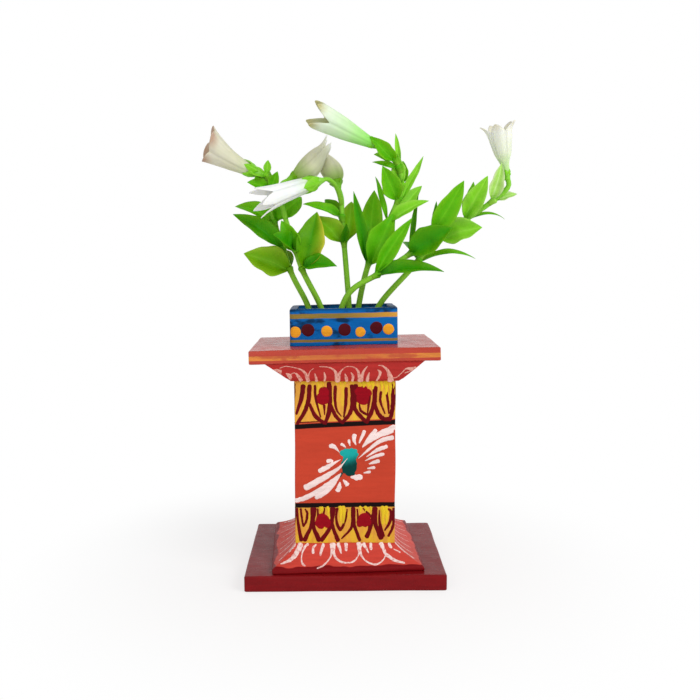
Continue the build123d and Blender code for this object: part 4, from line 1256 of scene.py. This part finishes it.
def flower_form(foot, axis, flower):
    """A thin hollow flower of joined petals, whose lobes curl out at the mouth."""
    bend = Vector(flower.bend)
    across = axis.orthogonal().normalized()
    upright = Vector((0, 0, 1)) - axis * axis.z
    if upright.length > 0.2:
        across = upright.normalized()
    other = axis.cross(across)

    def point_at(share, step):
        """A point of the outside, and its tint."""
        angle = step / FLOWER_SIDES * 2 * pi
        round_about = Vector((cos(angle), sin(angle), 0))

        def varied(scale, height):
            return noise.noise(round_about * scale + Vector((0, 0, height)))

        turn = ((angle + flower.roll) / (2 * pi) * flower.lobes) % 1
        lobe = sin(pi * turn)
        edge = lobe + (1 - abs(2 * turn - 1) - lobe) * flower.pointed
        cut = flower.cut * (1 + UNEVEN_CUTS * varied(1.4, flower.length))
        part = share * (1 - cut * (1 - edge ** (0.6 + 2 * flower.cut)))
        curled = max(part - LOBES_START, 0) / (1 - LOBES_START)
        crease = CREASE * (1 - lobe) ** 4 * min(part * 2.5, 1)
        flare = 0.5 * flower.curl * curled ** 2.5 * lobe
        radius = profile_radius(flower.profile, part) * (1 - crease + flare)
        radius *= 1 + DENTS * varied(1.2, part * 2 + flower.length)
        height = part * flower.length - flower.curl * 2.2 * curled ** 3 * lobe
        out = across * (cos(angle) * radius * flower.flat) + other * (sin(angle) * radius)
        tint = flower_tint(flower.tints, part, lobe, varied(6, part * 1.5))
        return foot + axis * height + bend * part * part + out, tint

    grid = [[point_at(share, step) for step in range(FLOWER_SIDES)] for share in FLOWER_SHARES]
    outer = [[point for point, _ in ring] for ring in grid]
    tints = [tint for ring in grid for _, tint in ring]
    tints += [mixed(tint, flower.tints[3], 0.55) for ring in grid[:INSIDE_END - 1:-1] for _, tint in ring]
    return (*stacked(outer + lining(outer, foot, axis)[:INSIDE_END - 1:-1]), tints)


def sepal_forms(foot, axis, flower, stem_radius, seed):
    """The green cup at a flower's foot, with pointed sepals that follow the flower's own slope."""
    sepals = flower.sepals
    green = mixed(sepals.tone.blade, flower.tints[0], 0.3)
    low = stem_radius + CUP_ROOM
    held = profile_radius(flower.profile, 1.4 / flower.length) + 0.12
    line = Line([foot - axis * CUP_REACH, foot, foot + axis * CUP_REACH])
    forms = [tube(line, lambda part: low + (held - low) * part ** 1.2,
                  lambda part: mixed(STEM_HIGH, green, part), 20, SHEATH_STEP)]
    across = axis.orthogonal().normalized()
    wide = profile_radius(flower.profile, sepals.length / flower.length)
    for index in range(SEPALS):
        outward = Matrix.Rotation((index + 0.5) / SEPALS * 2 * pi + flower.roll, 3, axis) @ across
        vary = noise.noise(Vector((seed, index * 2.1, 0)))
        slope = (wide - 1.2) / sepals.length + sepals.spread * (1 + vary)
        reach = (axis + outward * slope) * sepals.length * (1 + 0.25 * vary)
        forms.append(blade(foot + outward * (stem_radius + 0.25), reach, sepals.width, -outward,
                           sepals.tone, -0.07, 16, seed + index))
    return forms


def build_plant():
    """The foam, and six sprigs that stand in it."""
    stem_plastic = leafy("stem_plastic", 0.42, 0.1, 0.12).material
    leaf_plastic = leaf_material()
    petal_plastic = leafy("petal_plastic", 0.5, 0.25, 0.05).material
    sepal_plastic = leafy("sepal_plastic", 0.4, 0.12, 0.1).material

    def part(name, forms, plastic, slot, node):
        add_piece(name, forms, plastic, "plant", slot, [node])

    def stem(line, radius, foot, loss):
        """A stem whose radius starts at a share of its own and loses another on the way to its tip."""
        return tube(line, lambda share: radius * (foot - loss * share),
                    lambda share: mixed(STEM_LOW, STEM_HIGH, share))

    def add_flower(name, line, stem_radius, flower, seed):
        end, axis = line.at(1)
        part("blossom_" + name, [flower_form(end + axis * FLOWER_LIFT, axis, flower)], petal_plastic,
             "petal_white", "flower_" + name)
        part("sepals_" + name, sepal_forms(end, axis, flower, stem_radius, seed), sepal_plastic,
             "calyx_green", "calyx_" + name)

    part("foam_core", [foam_form()], foam_material(), "foam", "foam_block")
    for seed, (name, sprig) in enumerate(SPRIGS.items(), 1):
        line = Line(moved(sprig.route, (0, 0, FOAM.high - ROOT_DEPTH)))
        stems = [stem(line, STEM_RADIUS, 1.06, 0.16)]
        if name == SHOOT_CARRIER:
            start, _ = line.at(SHOOT_PLACE)
            shoot = Line([start, *moved(SHOOT_ROUTE, start)])
            stems.append(stem(shoot, SHOOT_RADIUS, 1.1, 0.1))
            add_flower("front", shoot, SHOOT_RADIUS, SHOOT_FLOWER, 7)
        part("stalk_" + name, stems, stem_plastic, "stem_green", "stem_" + name)
        leaves = []
        for index, whorl in enumerate(sprig.whorls):
            leaves += whorl_forms(line, whorl, seed * 11 + index * 5)
        part("foliage_" + name, leaves, leaf_plastic, "leaf_green", "leaves_" + name)
        if sprig.flower:
            add_flower(name, line, STEM_RADIUS, sprig.flower, seed)


# ---------------- floor, light and camera ----------------
# These are in metres.
CAMERA_PLACE = (-0.0055, -0.3329, 0.1221)
CAMERA_PITCH = 6.12          # degrees down
CAMERA_YAW = 1.33            # degrees to the right
CAMERA_LENS = 43.56          # millimetres, as is the sensor's width
CAMERA_SENSOR = 36
FLOOR_HALF = 8.0             # half the floor's width
SHADOW_REACH = (0.05, 0.14)  # from the middle, over which the floor turns to plain white
SKY_LIGHT = 0.55
LAMP_TARGET = (0, 0, 0.09)
# The name, place, size and power of each lamp.
LAMPS = (("key", (0.7, -0.62, 0.7), 0.6, 6.0), ("fill", (-0.35, -0.8, 0.35), 0.7, 1.6))


def placed(name, data):
    """A new object in the scene."""
    made = bpy.data.objects.new(name, data)
    bpy.context.scene.collection.objects.link(made)
    return made


def build_floor():
    """A white floor that keeps the object's shadow and turns to plain white away from it."""
    mesh = bpy.data.meshes.new("floor")
    corners = [(x * FLOOR_HALF, y * FLOOR_HALF, 0) for x, y in ((-1, -1), (1, -1), (1, 1), (-1, 1))]
    mesh.from_pydata(corners, [], [(0, 1, 2, 3)])
    shader = Shader("floor_white", 0.9, specular=0.0)
    shader.surface.inputs["Base Color"].default_value = WHITE
    away = shader.node("ShaderNodeVectorMath", {0: shader.place}, operation="LENGTH").outputs["Value"]
    far = shader.spread(away, *SHADOW_REACH, 0.68, 1.0)
    plain = shader.node("ShaderNodeEmission", {"Color": WHITE, "Strength": 1.0}).outputs[0]
    seen = shader.seen_by("Is Camera Ray", "Is Glossy Ray", "Is Transmission Ray")
    shader.show(shader.surface.outputs[0], plain, shader.math("MULTIPLY", far, seen), "Material Output")
    mesh.materials.append(shader.material)
    placed("floor", mesh)


def build_sky():
    """A soft white light from all round, and a plain white sky behind the object."""
    world = bpy.data.worlds.new("sky")
    bpy.context.scene.world = world
    world.use_nodes = True
    nodes = Nodes(world.node_tree)
    light = world.node_tree.nodes["Background"]
    light.inputs["Color"].default_value = WHITE
    light.inputs["Strength"].default_value = SKY_LIGHT
    plain = nodes.node("ShaderNodeBackground", {"Color": WHITE, "Strength": 1.0}).outputs[0]
    nodes.show(light.outputs[0], plain, nodes.seen_by("Is Camera Ray", "Is Glossy Ray"), "World Output")


def build_lamps():
    """Soft square lamps that look at the object."""
    for name, place, size, energy in LAMPS:
        lamp = bpy.data.lights.new(name, "AREA")
        lamp.size = size
        lamp.energy = energy
        made = placed(name, lamp)
        made.location = place
        made.rotation_euler = (Vector(LAMP_TARGET) - Vector(place)).to_track_quat("-Z", "Y").to_euler()


def build_camera():
    data = bpy.data.cameras.new("camera")
    data.lens = CAMERA_LENS
    data.sensor_width = CAMERA_SENSOR
    camera = placed("camera", data)
    camera.location = CAMERA_PLACE
    camera.rotation_euler = (radians(90 - CAMERA_PITCH), 0, radians(-CAMERA_YAW))
    bpy.context.scene.camera = camera


build_stand()
build_plant()
build_floor()
build_sky()
build_lamps()
build_camera()
bpy.context.scene.view_settings.view_transform = "Standard"
